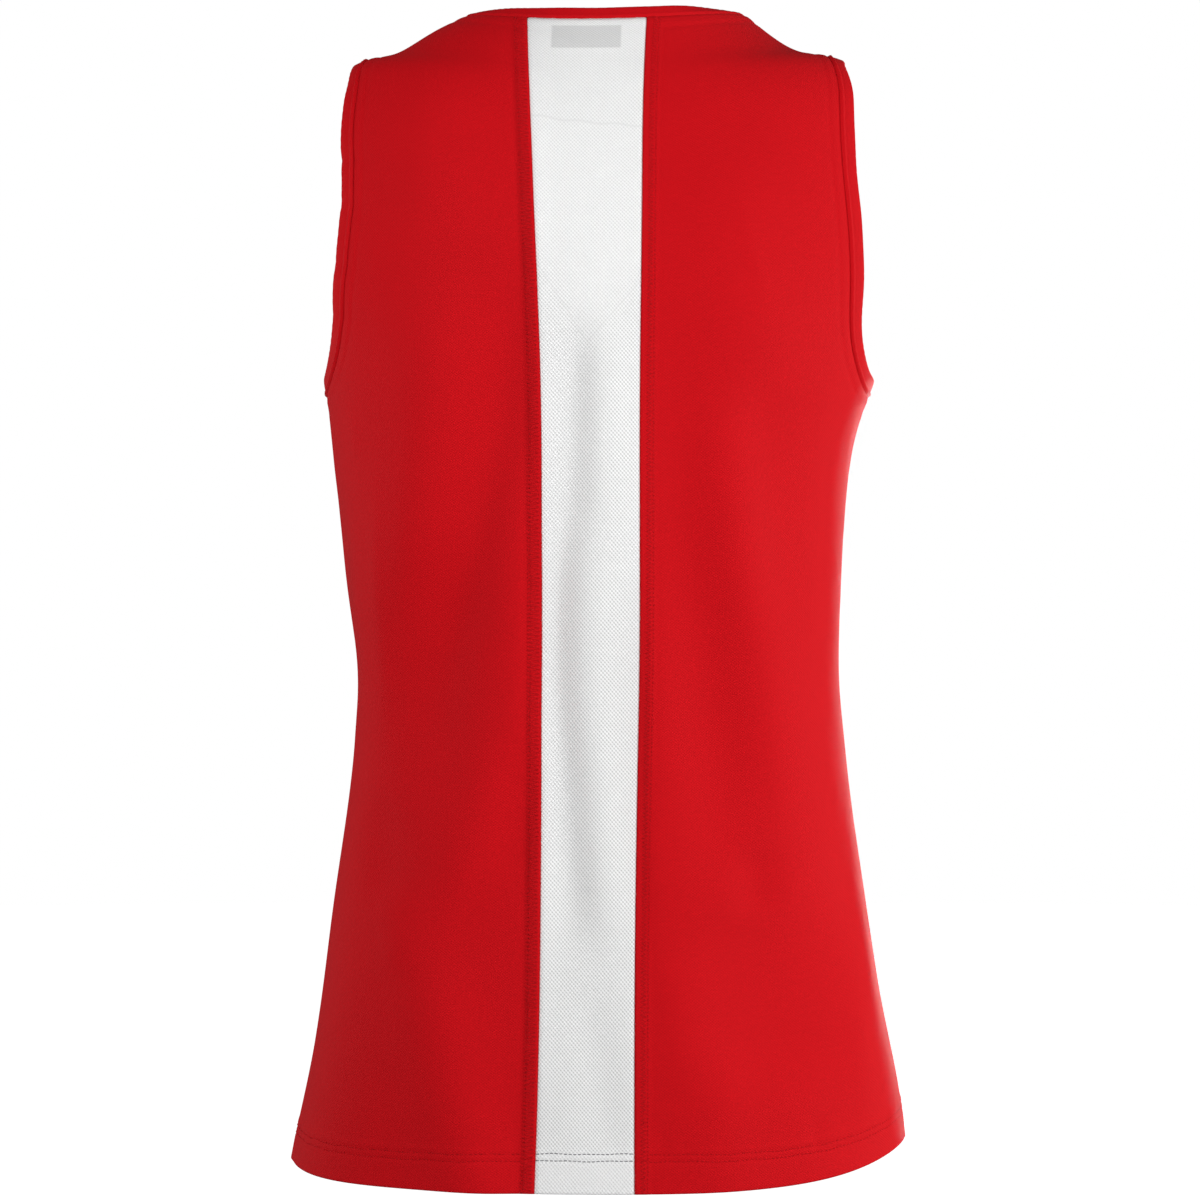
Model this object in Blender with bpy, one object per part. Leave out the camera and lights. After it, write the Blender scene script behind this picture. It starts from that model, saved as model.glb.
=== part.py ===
"""Women's tennis tank top in its worn form, on a general figure and with nobody in it.

Every cut piece is one closed wall of knit: two red back panels, a white mesh strip between
them, a red front with a V neck, a folded band round the neck and round each armhole, and a
blank label inside the back neck.

All sizes are millimetres until a mesh is made. X runs to the wearer's left, Y to the back and
Z up. The origin lies between the shoulders, where the wearer carries the top.

A place on the cloth is a pair (turn, rise). turn is the angle round the body: 0 at the left
side, a quarter turn at the centre back, a half turn at the right side. rise is the distance up
the cloth from the hem.
"""

import math

import bpy
import numpy as np

MM = 0.001

# Cloth walls
WALL = 1.2
HEM_WALL = 2.2
HEM_TURN_UP = 20.0
HEM_STEP = 2.0
SEAM_GAP = 0.3

# Folded bands
NECK_BAND_WIDTH = 6.5
ARM_BAND_WIDTH = 10.0
BAND_THICKNESS = 2.4
BAND_SQUARENESS = 3.0
BAND_SIDES = 10

# Landmarks, by the height of the side of the body
UNDERARM = -196.0
SHOULDER_TIP = -11.5
NECK_POINT = 11.0

# Armhole: how far round the body its edge reaches, and how square its lower and upper halves are
ARMHOLE_REACH_BACK = math.radians(35.5)
ARMHOLE_REACH_FRONT = math.radians(38.0)
ARMHOLE_LOWER_SQUARENESS = 2.35
ARMHOLE_UPPER_SQUARENESS = 2.5

# V neck
V_POINT_HEIGHT = -159.0
V_ROUNDING = 10.0

# Blank label inside the back neck
LABEL_WIDTH = 37.0
LABEL_DROP = 12.5
LABEL_CENTRE = 3.0
LABEL_BELOW_NECK = 2.0
LABEL_THICKNESS = 0.6
LABEL_GAP = 0.9
LABEL_COLUMNS = 6
LABEL_ROWS = 2

# Sections of the worn form, from the hem up. side_height, back_height and front_height are the
# heights of one section at its side, centre back and centre front. left, right, back and front
# are its reach from the axis. squareness is 2 for an ellipse and more for a boxier section.
SECTION_COLUMNS = (
    "side_height", "left", "right", "back_height", "back", "front_height", "front", "squareness",
)
SECTIONS = (
    (-615.4, 168.2, 167.0, -615.4, 106.0, -615.4, 109.0, 2.15),
    (-578.0, 161.0, 163.5, -578.0, 105.0, -578.0, 108.0, 2.18),
    (-524.0, 152.0, 153.0, -524.0, 103.0, -524.0, 106.0, 2.20),
    (-470.0, 145.0, 144.5, -470.0, 100.0, -470.0, 102.0, 2.22),
    (-415.0, 137.0, 136.5, -415.0, 97.5, -415.0, 99.0, 2.22),
    (-350.0, 133.2, 131.2, -350.0, 97.0, -350.0, 101.0, 2.22),
    (-300.0, 138.8, 132.0, -300.0, 100.0, -300.0, 108.0, 2.22),
    (-250.0, 143.2, 134.2, -250.0, 104.0, -250.0, 116.0, 2.20),
    (-213.0, 146.8, 140.0, -213.0, 106.5, -214.0, 119.0, 2.15),
    (-192.0, 149.3, 147.0, -192.0, 107.5, -194.0, 118.5, 2.10),
    (-170.0, 153.0, 153.6, -171.0, 108.3, -175.0, 117.0, 2.05),
    (-135.0, 160.2, 165.0, -138.0, 108.0, -146.0, 111.5, 2.00),
    (-90.0, 157.5, 164.5, -100.0, 104.0, -112.0, 101.0, 2.00),
    (-45.0, 152.5, 155.0, -66.0, 96.0, -82.0, 90.0, 2.00),
    (-24.0, 142.5, 144.5, -46.0, 89.5, -68.0, 82.0, 2.00),
    (-15.0, 134.5, 134.0, -35.0, 85.0, -61.0, 77.0, 2.00),
    (-11.5, 125.5, 124.0, -28.0, 82.0, -55.0, 73.0, 2.00),
    (-9.3, 113.5, 110.0, -20.0, 78.0, -47.0, 68.0, 2.00),
    (-3.6, 102.0, 98.0, -12.0, 74.0, -39.0, 62.0, 2.02),
    (4.6, 88.0, 87.0, -4.5, 70.0, -30.0, 56.0, 2.05),
    (11.0, 73.5, 79.0, 2.0, 66.0, -22.0, 50.0, 2.10),
)

# Edges of the mesh strip across the back, by height
STRIP_COLUMNS = ("height", "left_edge", "right_edge")
STRIP = (
    (-616.0, 28.0, -24.5),
    (-514.0, 25.4, -24.5),
    (-410.0, 25.2, -25.4),
    (-306.0, 24.7, -27.0),
    (-202.0, 24.5, -27.5),
    (-98.0, 28.4, -28.3),
    (-46.0, 31.6, -28.2),
    (2.0, 35.3, -28.8),
)

# How far the hem line lifts above a level one, by the angle round the body
LIFT_COLUMNS = ("angle", "lift", "spread")
HEM_LIFTS = (
    (0.0, 6.5, 25.0),
    (180.0, 18.5, 38.0),
    (262.0, 6.0, 40.0),
)

# Main folds. Each runs from its start to its end on one face of the body, across is the sideways
# coordinate there (x on back and front, y on the sides), bow bends its middle to its left, and
# height is how far its crest stands out, or in when it is a trough.
FOLD_COLUMNS = (
    "face", "start_across", "start_height", "end_across", "end_height", "bow", "width", "height",
)
FOLDS = (
    ("back", 1.0, -150.0, 10.0, -320.0, -1.5, 11.0, -2.4),
    ("back", 11.0, -300.0, -8.0, -500.0, 4.0, 12.0, -2.6),
    ("back", -14.0, -190.0, -9.0, -420.0, -2.0, 13.0, 1.8),
    ("back", 40.0, -190.0, 104.0, -450.0, -8.0, 24.0, -5.0),
    ("back", 84.0, -70.0, 92.0, -350.0, -16.0, 26.0, 3.2),
    ("back", -46.0, -180.0, -96.0, -470.0, 6.0, 22.0, -4.6),
    ("back", -36.0, -230.0, -50.0, -470.0, 0.0, 17.0, 2.6),
    ("back", -100.0, -90.0, -104.0, -240.0, 0.0, 26.0, 2.4),
    ("back", 98.0, -500.0, 112.0, -625.0, 0.0, 24.0, -4.2),
    ("back", 56.0, -480.0, 66.0, -625.0, 0.0, 22.0, 2.6),
    ("back", -70.0, -480.0, -82.0, -570.0, 0.0, 24.0, 2.8),
    ("back", -50.0, -520.0, -56.0, -625.0, 0.0, 17.0, -2.6),
    ("front", 62.0, -190.0, 40.0, -420.0, 8.0, 24.0, -4.4),
    ("front", -58.0, -200.0, -44.0, -430.0, -8.0, 24.0, -4.2),
    ("front", 6.0, -260.0, -4.0, -470.0, 0.0, 20.0, 2.4),
    ("front", 84.0, -500.0, 96.0, -625.0, 0.0, 22.0, -3.6),
    ("front", -78.0, -490.0, -92.0, -625.0, 0.0, 24.0, -3.8),
    ("front", 34.0, -520.0, 30.0, -625.0, 0.0, 18.0, 2.4),
    ("left", 26.0, -230.0, 8.0, -380.0, 3.0, 18.0, -2.4),
    ("left", -30.0, -440.0, -36.0, -610.0, 0.0, 20.0, 2.4),
    ("right", -24.0, -225.0, -6.0, -390.0, 3.0, 18.0, -2.4),
    ("right", 34.0, -450.0, 42.0, -600.0, 0.0, 20.0, 2.2),
)
FOLD_TAPER = 0.35

# How a face's folds fade out towards the next face: steepness, and share of the way round at
# which they end
FACE_FADE = 2.5
SIDE_FADE = 2.0
SIDE_FADE_START = 0.3

# Steps of each panel's grid. The armhole's steps are as many as those of the panel's inner edge
# from the underarm's level to the neck point.
HEM_ROWS = 4
SIDE_STEPS = 20
ARMHOLE_STEPS = 17
BACK_NECK_STEPS = 5
BELOW_V_STEPS = 2
PANEL_COLUMNS = 13
STRIP_STEPS = 5
CURVE_SAMPLES = 400

# Steps used to take slopes of the form
TURN_STEP = 0.002
RISE_STEP = 0.5

# Colours, roughness of each cloth, and the angle past which an edge is shaded sharp
RED = (0.55, 0.008, 0.012, 1.0)
WHITE = (0.82, 0.82, 0.82, 1.0)
LABEL_WHITE = (0.70, 0.70, 0.70, 1.0)
KNIT_ROUGHNESS = 0.75
BAND_ROUGHNESS = 0.7
MESH_ROUGHNESS = 0.8
LABEL_ROUGHNESS = 0.6
SHARP_ANGLE = math.radians(50.0)


def column(table, names, name):
    """One named column of a table, as an array."""
    place = names.index(name)
    return np.array([row[place] for row in table], dtype=float)


def spline_bends(knots, values):
    """Second slopes, at the knots, of the natural cubic curve through the values."""
    steps = np.diff(knots)
    matrix = np.eye(len(knots))
    bends = np.zeros(len(knots))
    for i in range(1, len(knots) - 1):
        matrix[i, i - 1:i + 2] = (steps[i - 1], 2.0 * (steps[i - 1] + steps[i]), steps[i])
        slope_after = (values[i + 1] - values[i]) / steps[i]
        slope_before = (values[i] - values[i - 1]) / steps[i - 1]
        bends[i] = 6.0 * (slope_after - slope_before)
    return np.linalg.solve(matrix, bends)


def spline(knots, values, bends, wanted):
    """Height at the wanted places of the cubic curve that spline_bends prepared."""
    place = np.clip(np.searchsorted(knots, wanted) - 1, 0, len(knots) - 2)
    step = knots[place + 1] - knots[place]
    after = (wanted - knots[place]) / step
    before = 1.0 - after
    curved = (before ** 3 - before) * bends[place] + (after ** 3 - after) * bends[place + 1]
    return before * values[place] + after * values[place + 1] + curved * step ** 2 / 6.0


def section_distances():
    """Distance up the cloth from the hem to each section: the mean of its side and its back."""
    side = np.hypot(
        np.diff(column(SECTIONS, SECTION_COLUMNS, "side_height")),
        np.diff(column(SECTIONS, SECTION_COLUMNS, "left")),
    )
    back = np.hypot(
        np.diff(column(SECTIONS, SECTION_COLUMNS, "back_height")),
        np.diff(column(SECTIONS, SECTION_COLUMNS, "back")),
    )
    return np.concatenate(([0.0], np.cumsum((side + back) / 2.0)))


DISTANCES = section_distances()
TOP = DISTANCES[-1]
BENDS = {
    name: spline_bends(DISTANCES, column(SECTIONS, SECTION_COLUMNS, name))
    for name in SECTION_COLUMNS
}


def section(name, rise):
    """A column of the section table, read smoothly at any rise."""
    return spline(DISTANCES, column(SECTIONS, SECTION_COLUMNS, name), BENDS[name], rise)


def rise_at(name, height):
    """Rise at which the named height column reaches a height."""
    samples = np.linspace(0.0, TOP, CURVE_SAMPLES)
    return np.interp(height, section(name, samples), samples)


def form(turn, rise):
    """Point of the smooth form: a squared ellipse whose sides, back and front have own reach."""
    across = np.cos(turn)
    along = np.sin(turn)
    half_width = np.where(across >= 0.0, section("left", rise), section("right", rise))
    half_depth = np.where(along >= 0.0, section("back", rise), section("front", rise))
    end_height = np.where(
        along >= 0.0, section("back_height", rise), section("front_height", rise)
    )
    power = 2.0 / section("squareness", rise)
    side_height = section("side_height", rise)
    x = half_width * np.sign(across) * np.abs(across) ** power
    y = half_depth * np.sign(along) * np.abs(along) ** power
    z = side_height + (end_height - side_height) * along ** 2
    return np.stack((x, y, z), axis=-1)


def unit(vectors):
    """Vectors of length one."""
    return vectors / np.linalg.norm(vectors, axis=-1, keepdims=True)


def outward(shape, turn, rise):
    """Outward normal of a shape: its slope round the body crossed with its slope up the body."""
    round_body = shape(turn + TURN_STEP, rise) - shape(turn - TURN_STEP, rise)
    up_body = shape(turn, rise + RISE_STEP) - shape(turn, rise - RISE_STEP)
    return unit(np.cross(round_body, up_body))


def fold_height(points, turn):
    """How far the folds push the form out: each is a bell across its line, tapered at its ends."""
    facing = {
        "back": (np.clip(np.sin(turn) * FACE_FADE, 0.0, 1.0), points[..., 0]),
        "front": (np.clip(-np.sin(turn) * FACE_FADE, 0.0, 1.0), points[..., 0]),
        "left": (
            np.clip((np.cos(turn) - SIDE_FADE_START) * SIDE_FADE, 0.0, 1.0), points[..., 1],
        ),
        "right": (
            np.clip((-np.cos(turn) - SIDE_FADE_START) * SIDE_FADE, 0.0, 1.0), points[..., 1],
        ),
    }
    total = np.zeros(points.shape[:-1])
    for row in FOLDS:
        fold = dict(zip(FOLD_COLUMNS, row))
        share, sideways = facing[fold["face"]]
        run_across = fold["end_across"] - fold["start_across"]
        run_down = fold["end_height"] - fold["start_height"]
        length = math.hypot(run_across, run_down)
        from_start = sideways - fold["start_across"]
        below_start = points[..., 2] - fold["start_height"]
        along = (from_start * run_across + below_start * run_down) / length ** 2
        beside = (from_start * run_down - below_start * run_across) / length
        beside = beside - fold["bow"] * 4.0 * along * (1.0 - along)
        bell = np.exp(-(beside / fold["width"]) ** 2)
        ends = np.clip(np.minimum(along, 1.0 - along) / FOLD_TAPER, 0.0, 1.0)
        ends = ends * ends * (3.0 - 2.0 * ends)
        total = total + share * fold["height"] * bell * ends
    return total


def surface(turn, rise):
    """Point of the cloth's outer face: the form with its folds."""
    base = form(turn, rise)
    push = fold_height(base, turn)
    return base + push[..., None] * outward(form, turn, rise)


def turn_at(x, rise):
    """Angle, on the back half, at which the form's section reaches a sideways place x."""
    half_width = np.where(x >= 0.0, section("left", rise), section("right", rise))
    share = np.clip(np.abs(x) / half_width, 0.0, 1.0) ** (section("squareness", rise) / 2.0)
    return np.arccos(np.sign(x) * share)


def spread_evenly(turn, rise, steps):
    """Places along a line on the cloth, evenly spaced by length, with the given step count."""
    points = surface(turn, rise)
    lengths = np.linalg.norm(np.diff(points, axis=0), axis=1)
    run = np.concatenate(([0.0], np.cumsum(lengths)))
    wanted = np.linspace(0.0, run[-1], steps + 1)
    return np.interp(wanted, run, turn), np.interp(wanted, run, rise)


def hem_lift(turn):
    """Lift of the hem line, round the body: a bell at each angle of the table."""
    total = np.zeros_like(turn)
    for row in HEM_LIFTS:
        lift = dict(zip(LIFT_COLUMNS, row))
        away = np.angle(np.exp(1j * (turn - math.radians(lift["angle"]))))
        total = total + lift["lift"] * np.exp(-(away / math.radians(lift["spread"])) ** 2)
    return total


def hem_rises():
    """Rows of the turned-up hem, below the step in its wall."""
    return np.linspace(0.0, HEM_TURN_UP, HEM_ROWS)


def side_rises():
    """Rises of the rows from the hem edge to the underarm."""
    above_hem = HEM_TURN_UP + HEM_STEP
    plain = np.linspace(above_hem, rise_at("side_height", UNDERARM), SIDE_STEPS + 1)
    return np.concatenate((hem_rises(), plain))


def armhole_line(reach):
    """Half of an armhole, from the underarm to the shoulder tip: half of a squared oval."""
    low = rise_at("side_height", UNDERARM)
    high = rise_at("side_height", SHOULDER_TIP)
    angle = np.linspace(0.0, math.pi, CURVE_SAMPLES)
    upper = angle > math.pi / 2.0
    squareness = np.where(upper, ARMHOLE_UPPER_SQUARENESS, ARMHOLE_LOWER_SQUARENESS)
    height = -np.sign(np.cos(angle)) * np.abs(np.cos(angle)) ** (2.0 / squareness)
    turn = reach * np.sin(angle) ** (2.0 / squareness)
    rise = (low + high) / 2.0 + (high - low) / 2.0 * height
    return spread_evenly(turn, rise, ARMHOLE_STEPS)


def end_to_end(*lines):
    """Lines on the cloth joined into one, each place where two of them meet named once."""
    turn = [lines[0][0]] + [line[0][1:] for line in lines[1:]]
    rise = [lines[0][1]] + [line[1][1:] for line in lines[1:]]
    return np.concatenate(turn), np.concatenate(rise)


def outer_edge(side, reach):
    """Side seam and then armhole of a panel, from the hem to the shoulder tip."""
    rise = side_rises()
    turn, rise = end_to_end((np.zeros_like(rise), rise), armhole_line(abs(reach)))
    turn = np.sign(reach) * turn
    return (turn if side > 0 else np.sign(reach) * math.pi - turn), rise


def strip_edge(side):
    """One edge of the mesh strip, hem to neck, with the same rows as the panel beside it."""
    low = side_rises()
    high = np.linspace(low[-1], TOP, ARMHOLE_STEPS - BACK_NECK_STEPS + 1)
    rise = np.concatenate((low, high[1:]))
    heights = column(STRIP, STRIP_COLUMNS, "height")
    places = column(STRIP, STRIP_COLUMNS, "left_edge" if side > 0 else "right_edge")
    bends = spline_bends(heights, places)
    x = spline(heights, places, bends, section("back_height", rise))
    return turn_at(x, rise), rise


def back_neck(side):
    """The back neckline from the strip to the neck point: the top section of the form."""
    start = strip_edge(side)[0][-1]
    turn = np.linspace(start, 0.0 if side > 0 else math.pi, CURVE_SAMPLES)
    return spread_evenly(turn, np.full_like(turn, TOP), BACK_NECK_STEPS)


def front_neck(side):
    """Half of the V neckline, from its point to the neck point: a line with a rounded foot."""
    half_width = section("left" if side > 0 else "right", TOP)
    low = rise_at("front_height", V_POINT_HEIGHT)
    across = np.linspace(0.0, half_width, CURVE_SAMPLES)
    climb = np.hypot(across, V_ROUNDING) - V_ROUNDING
    rise = low + (TOP - low) * climb / climb[-1]
    turn = -turn_at(side * across, rise)
    return spread_evenly(turn, rise, ARMHOLE_STEPS - BELOW_V_STEPS)


def patch(inner, outer, columns):
    """Grid of places between two edges: straight blends across, lifted towards the hem line."""
    share = np.linspace(0.0, 1.0, columns + 1)[None, :]
    turn = (1.0 - share) * inner[0][:, None] + share * outer[0][:, None]
    rise = (1.0 - share) * inner[1][:, None] + share * outer[1][:, None]
    below_arm = np.clip(1.0 - rise / rise_at("side_height", UNDERARM), 0.0, 1.0)
    return turn, rise + below_arm * hem_lift(turn)


def back_panel(side):
    """Grid of a back panel. Its rows run from the strip and neck to the side and armhole."""
    inner = end_to_end(strip_edge(side), back_neck(side))
    return patch(inner, outer_edge(side, ARMHOLE_REACH_BACK), PANEL_COLUMNS)


def strip_panel():
    """Grid of the mesh strip, from its left edge to its right edge."""
    return patch(strip_edge(1), strip_edge(-1), STRIP_STEPS)


def front_half(side):
    """Grid of half of the front. Its rows run from the centre and V to the side and armhole."""
    neck = front_neck(side)
    low = side_rises()
    high = np.linspace(low[-1], neck[1][0], BELOW_V_STEPS + 1)
    rise = np.concatenate((low, high[1:]))
    inner = end_to_end((np.full_like(rise, -math.pi / 2.0), rise), neck)
    return patch(inner, outer_edge(side, -ARMHOLE_REACH_FRONT), PANEL_COLUMNS)


def sheet(grids):
    """One piece of cloth from grids that meet edge to edge.

    Gives its places as rows of turn, rise and grid row, and its four-cornered faces, whose
    corners run anticlockwise seen from outside.
    """
    places = []
    faces = []
    first = 0
    for turn, rise in grids:
        if turn[0, -1] < turn[0, 0]:
            turn, rise = turn[:, ::-1], rise[:, ::-1]
        row = np.repeat(np.arange(turn.shape[0])[:, None], turn.shape[1], axis=1)
        number = first + np.arange(turn.size).reshape(turn.shape)
        corners = (number[:-1, :-1], number[:-1, 1:], number[1:, 1:], number[1:, :-1])
        faces.append(np.stack(corners, axis=-1).reshape(-1, 4))
        places.append(np.stack((turn, rise, row), axis=-1).reshape(-1, 3))
        first += turn.size
    places = np.concatenate(places)
    faces = np.concatenate(faces)
    _, kept, number = np.unique(
        np.round(places, 6), axis=0, return_index=True, return_inverse=True
    )
    return places[kept], number.ravel()[faces]


def rim_edges(faces):
    """Edges with cloth on one side only, each in its own face's direction."""
    edges = faces[:, (0, 1, 1, 2, 2, 3, 3, 0)].reshape(-1, 2).tolist()
    known = {tuple(edge) for edge in edges}
    return np.array([edge for edge in edges if (edge[1], edge[0]) not in known])


def drawn_in(points, normals, rim, distance):
    """Points with the cloth's edge moved into the cloth by a distance, square to the edge.

    The two inward directions at a corner are added, and half the square of their sum's length
    is what keeps the distance to both edges.
    """
    start, end = rim[:, 0], rim[:, 1]
    forward = unit(points[end] - points[start])
    inward = np.zeros_like(points)
    np.add.at(inward, start, np.cross(normals[start], forward))
    np.add.at(inward, end, np.cross(normals[end], forward))
    corner = np.sum(inward ** 2, axis=1, keepdims=True) / 2.0
    return points + distance * inward / np.where(corner > 0.0, corner, 1.0)


def material(name, colour, roughness):
    """A plain cloth material."""
    made = bpy.data.materials.new(name)
    made.use_nodes = True
    shader = made.node_tree.nodes["Principled BSDF"]
    shader.inputs["Base Color"].default_value = colour
    shader.inputs["Roughness"].default_value = roughness
    shader.inputs["Metallic"].default_value = 0.0
    return made


def add_object(name, points, faces, finish):
    """A smooth-shaded object from points in millimetres."""
    mesh = bpy.data.meshes.new(name)
    mesh.from_pydata((points * MM).tolist(), [], faces)
    mesh.materials.append(finish)
    mesh.shade_smooth()
    mesh.set_sharp_from_angle(angle=SHARP_ANGLE)
    made = bpy.data.objects.new(name, mesh)
    bpy.context.scene.collection.objects.link(made)
    return made


def add_wall(name, outer, inner, faces, rim, finish):
    """A closed wall: the outer faces, the inner ones turned round, and a strip along the rim."""
    count = len(outer)
    start, end = rim[:, 0], rim[:, 1]
    strip = np.stack((end, start, start + count, end + count), axis=-1)
    walls = np.concatenate((faces, faces[:, ::-1] + count, strip))
    return add_object(name, np.concatenate((outer, inner)), walls.tolist(), finish)


def add_panel(name, grids, finish):
    """A panel's wall: one layer of knit, and two layers over the turned-up hem."""
    places, faces = sheet(grids)
    turn, rise, row = places.T
    rim = rim_edges(faces)
    normals = outward(surface, turn, rise)
    outer = drawn_in(surface(turn, rise), normals, rim, SEAM_GAP / 2.0)
    thickness = np.where(row < HEM_ROWS, HEM_WALL, WALL)
    inner = outer - thickness[:, None] * normals
    return add_wall(name, outer, inner, faces, rim, finish)


def add_band(name, line, width, inside, finish):
    """A folded band along a closed line: a squared oval section carried along the cloth's edge.

    The section lies in the plane of the cloth's edge direction and its normal. inside is a
    point in the opening, which says on which side of the line the band lies.
    """
    turn, rise = line
    path = surface(turn, rise)
    normal = outward(surface, turn, rise)
    forward = unit(np.roll(path, -1, axis=0) - np.roll(path, 1, axis=0))
    away = unit(np.cross(forward, normal))
    if np.sum((np.array(inside) - path) * away) < 0.0:
        away = -away
    angle = np.arange(BAND_SIDES) * 2.0 * math.pi / BAND_SIDES
    power = 2.0 / BAND_SQUARENESS
    out = np.sign(np.cos(angle)) * np.abs(np.cos(angle)) ** power
    up = np.sign(np.sin(angle)) * np.abs(np.sin(angle)) ** power
    reach = SEAM_GAP / 2.0 + width / 2.0 * (1.0 + out)
    lift = BAND_THICKNESS / 2.0 * up - WALL / 2.0
    points = (
        path[:, None, :]
        + reach[None, :, None] * away[:, None, :]
        + lift[None, :, None] * normal[:, None, :]
    )
    count = len(turn)
    number = np.arange(count * BAND_SIDES).reshape(count, BAND_SIDES)
    ahead = np.roll(number, -1, axis=0)
    faces = np.stack(
        (number, ahead, np.roll(ahead, -1, axis=1), np.roll(number, -1, axis=1)), axis=-1
    ).reshape(-1, 4)
    outward_test = np.cross(points[1, 0] - points[0, 0], points[0, 1] - points[0, 0])
    if np.dot(outward_test, away[0]) < 0.0:
        faces = faces[:, ::-1]
    return add_object(name, points.reshape(-1, 3), faces.tolist(), finish)


def reversed_line(line):
    """The same line on the cloth, run the other way."""
    return line[0][::-1], line[1][::-1]


def closed_loop(*lines):
    """Lines that come back to their start, joined, with the start named once."""
    turn, rise = end_to_end(*lines)
    return turn[:-1], rise[:-1]


def neck_loop():
    """The whole neckline: back left, strip, back right, then the V from right to left."""
    strip = strip_panel()
    strip_top = (strip[0][-1], strip[1][-1])
    back = (reversed_line(back_neck(1)), strip_top, back_neck(-1))
    return closed_loop(*back, reversed_line(front_neck(-1)), front_neck(1))


def armhole_loop(side):
    """A whole armhole: up the back from the underarm, then down the front."""
    back = armhole_line(ARMHOLE_REACH_BACK)
    front = armhole_line(ARMHOLE_REACH_FRONT)
    turn, rise = closed_loop(back, reversed_line((-front[0], front[1])))
    return (turn if side > 0 else math.pi - turn), rise


def add_label(finish):
    """The blank label, made from the strip's own points moved inside its wall."""
    top_height = section("back_height", TOP) - LABEL_BELOW_NECK
    heights = np.linspace(top_height - LABEL_DROP, top_height, LABEL_ROWS + 1)
    across = np.linspace(0.5, -0.5, LABEL_COLUMNS + 1) * LABEL_WIDTH + LABEL_CENTRE
    rise = np.repeat(rise_at("back_height", heights)[:, None], LABEL_COLUMNS + 1, axis=1)
    turn = turn_at(np.repeat(across[None, :], LABEL_ROWS + 1, axis=0), rise)
    places, faces = sheet([(turn, rise)])
    turn, rise, _ = places.T
    normals = outward(surface, turn, rise)
    outer = surface(turn, rise) - (WALL + LABEL_GAP) * normals
    inner = outer - LABEL_THICKNESS * normals
    return add_wall("neck_label", outer, inner, faces, rim_edges(faces), finish)


def main():
    """Clears the scene and builds every piece."""
    for old in list(bpy.data.objects):
        bpy.data.objects.remove(old)
    red = material("red_pique", RED, KNIT_ROUGHNESS)
    band_red = material("red_band", RED, BAND_ROUGHNESS)
    white = material("white_mesh", WHITE, MESH_ROUGHNESS)
    label = material("label_white", LABEL_WHITE, LABEL_ROUGHNESS)
    add_panel("back_left", [back_panel(1)], red)
    add_panel("back_right", [back_panel(-1)], red)
    add_panel("back_center", [strip_panel()], white)
    add_panel("front", [front_half(1), front_half(-1)], red)
    add_band("neckband", neck_loop(), NECK_BAND_WIDTH, (0.0, 0.0, NECK_POINT), band_red)
    mid_armhole = (UNDERARM + SHOULDER_TIP) / 2.0
    for side, name in ((1, "armband_left"), (-1, "armband_right")):
        half_width = section("left" if side > 0 else "right", rise_at("side_height", mid_armhole))
        inside = (side * half_width, 0.0, mid_armhole)
        add_band(name, armhole_loop(side), ARM_BAND_WIDTH, inside, band_red)
    add_label(label)


main()
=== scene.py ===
"""Women's tennis tank top: its cloth, bindings and sewing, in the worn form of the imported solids.

Sizes are millimetres until a mesh is made. X runs to the wearer's left, Y to the back and Z up.
The origin lies between the shoulders.

A place on the cloth is a pair (turn, rise). turn is the angle round the body: 0 at the left
side, a quarter turn at the centre back, a half turn at the right side. rise is the distance up
the cloth from the hem. side is 1 for the left and -1 for the right.
"""

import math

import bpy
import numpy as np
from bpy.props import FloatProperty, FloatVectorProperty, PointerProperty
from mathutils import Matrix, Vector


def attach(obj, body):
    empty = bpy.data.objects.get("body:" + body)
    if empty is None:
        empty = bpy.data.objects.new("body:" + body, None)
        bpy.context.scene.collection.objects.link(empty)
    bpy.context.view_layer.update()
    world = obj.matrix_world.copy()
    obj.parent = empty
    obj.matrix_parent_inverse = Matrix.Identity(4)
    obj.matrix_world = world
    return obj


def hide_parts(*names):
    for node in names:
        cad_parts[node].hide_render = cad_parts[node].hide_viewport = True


bl_info = {
    "name": "Tennis Tank Top",
    "version": (1, 0, 0),
    "blender": (4, 5, 0),
    "location": "View3D > Sidebar > Tank Top",
    "description": "Builds a knit tank top with a mesh strip down its back, in its worn form",
    "category": "Add Mesh",
}

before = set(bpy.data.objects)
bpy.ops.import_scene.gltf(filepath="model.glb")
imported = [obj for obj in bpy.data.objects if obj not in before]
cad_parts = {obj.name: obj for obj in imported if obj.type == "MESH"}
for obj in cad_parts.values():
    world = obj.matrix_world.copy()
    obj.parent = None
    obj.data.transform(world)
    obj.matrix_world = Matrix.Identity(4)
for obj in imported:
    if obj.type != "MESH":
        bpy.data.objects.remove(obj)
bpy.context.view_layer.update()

MM = 0.001
BODY = "root"
SIDES = ((1, "left"), (-1, "right"))

# Landmarks, by the height of the side of the body
UNDERARM = -196.0
SHOULDER_TIP = -11.5
NECK_POINT = 11.0
SEAM_GAP = 0.02

# Armhole: how far round the body its edge reaches, and how square its lower and upper halves are
ARMHOLE_REACH_BACK = math.radians(35.5)
ARMHOLE_REACH_FRONT = math.radians(38.0)
ARMHOLE_LOWER_SQUARENESS = 2.35
ARMHOLE_UPPER_SQUARENESS = 2.5

# V neck: the height of its point, and of a higher point to which its seam's relief runs, which
# leaves the cloth plain beside the V's own point
V_POINT_HEIGHT = -172.0
V_RELIEF_HEIGHT = -159.0
V_ROUNDING = 10.0

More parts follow.
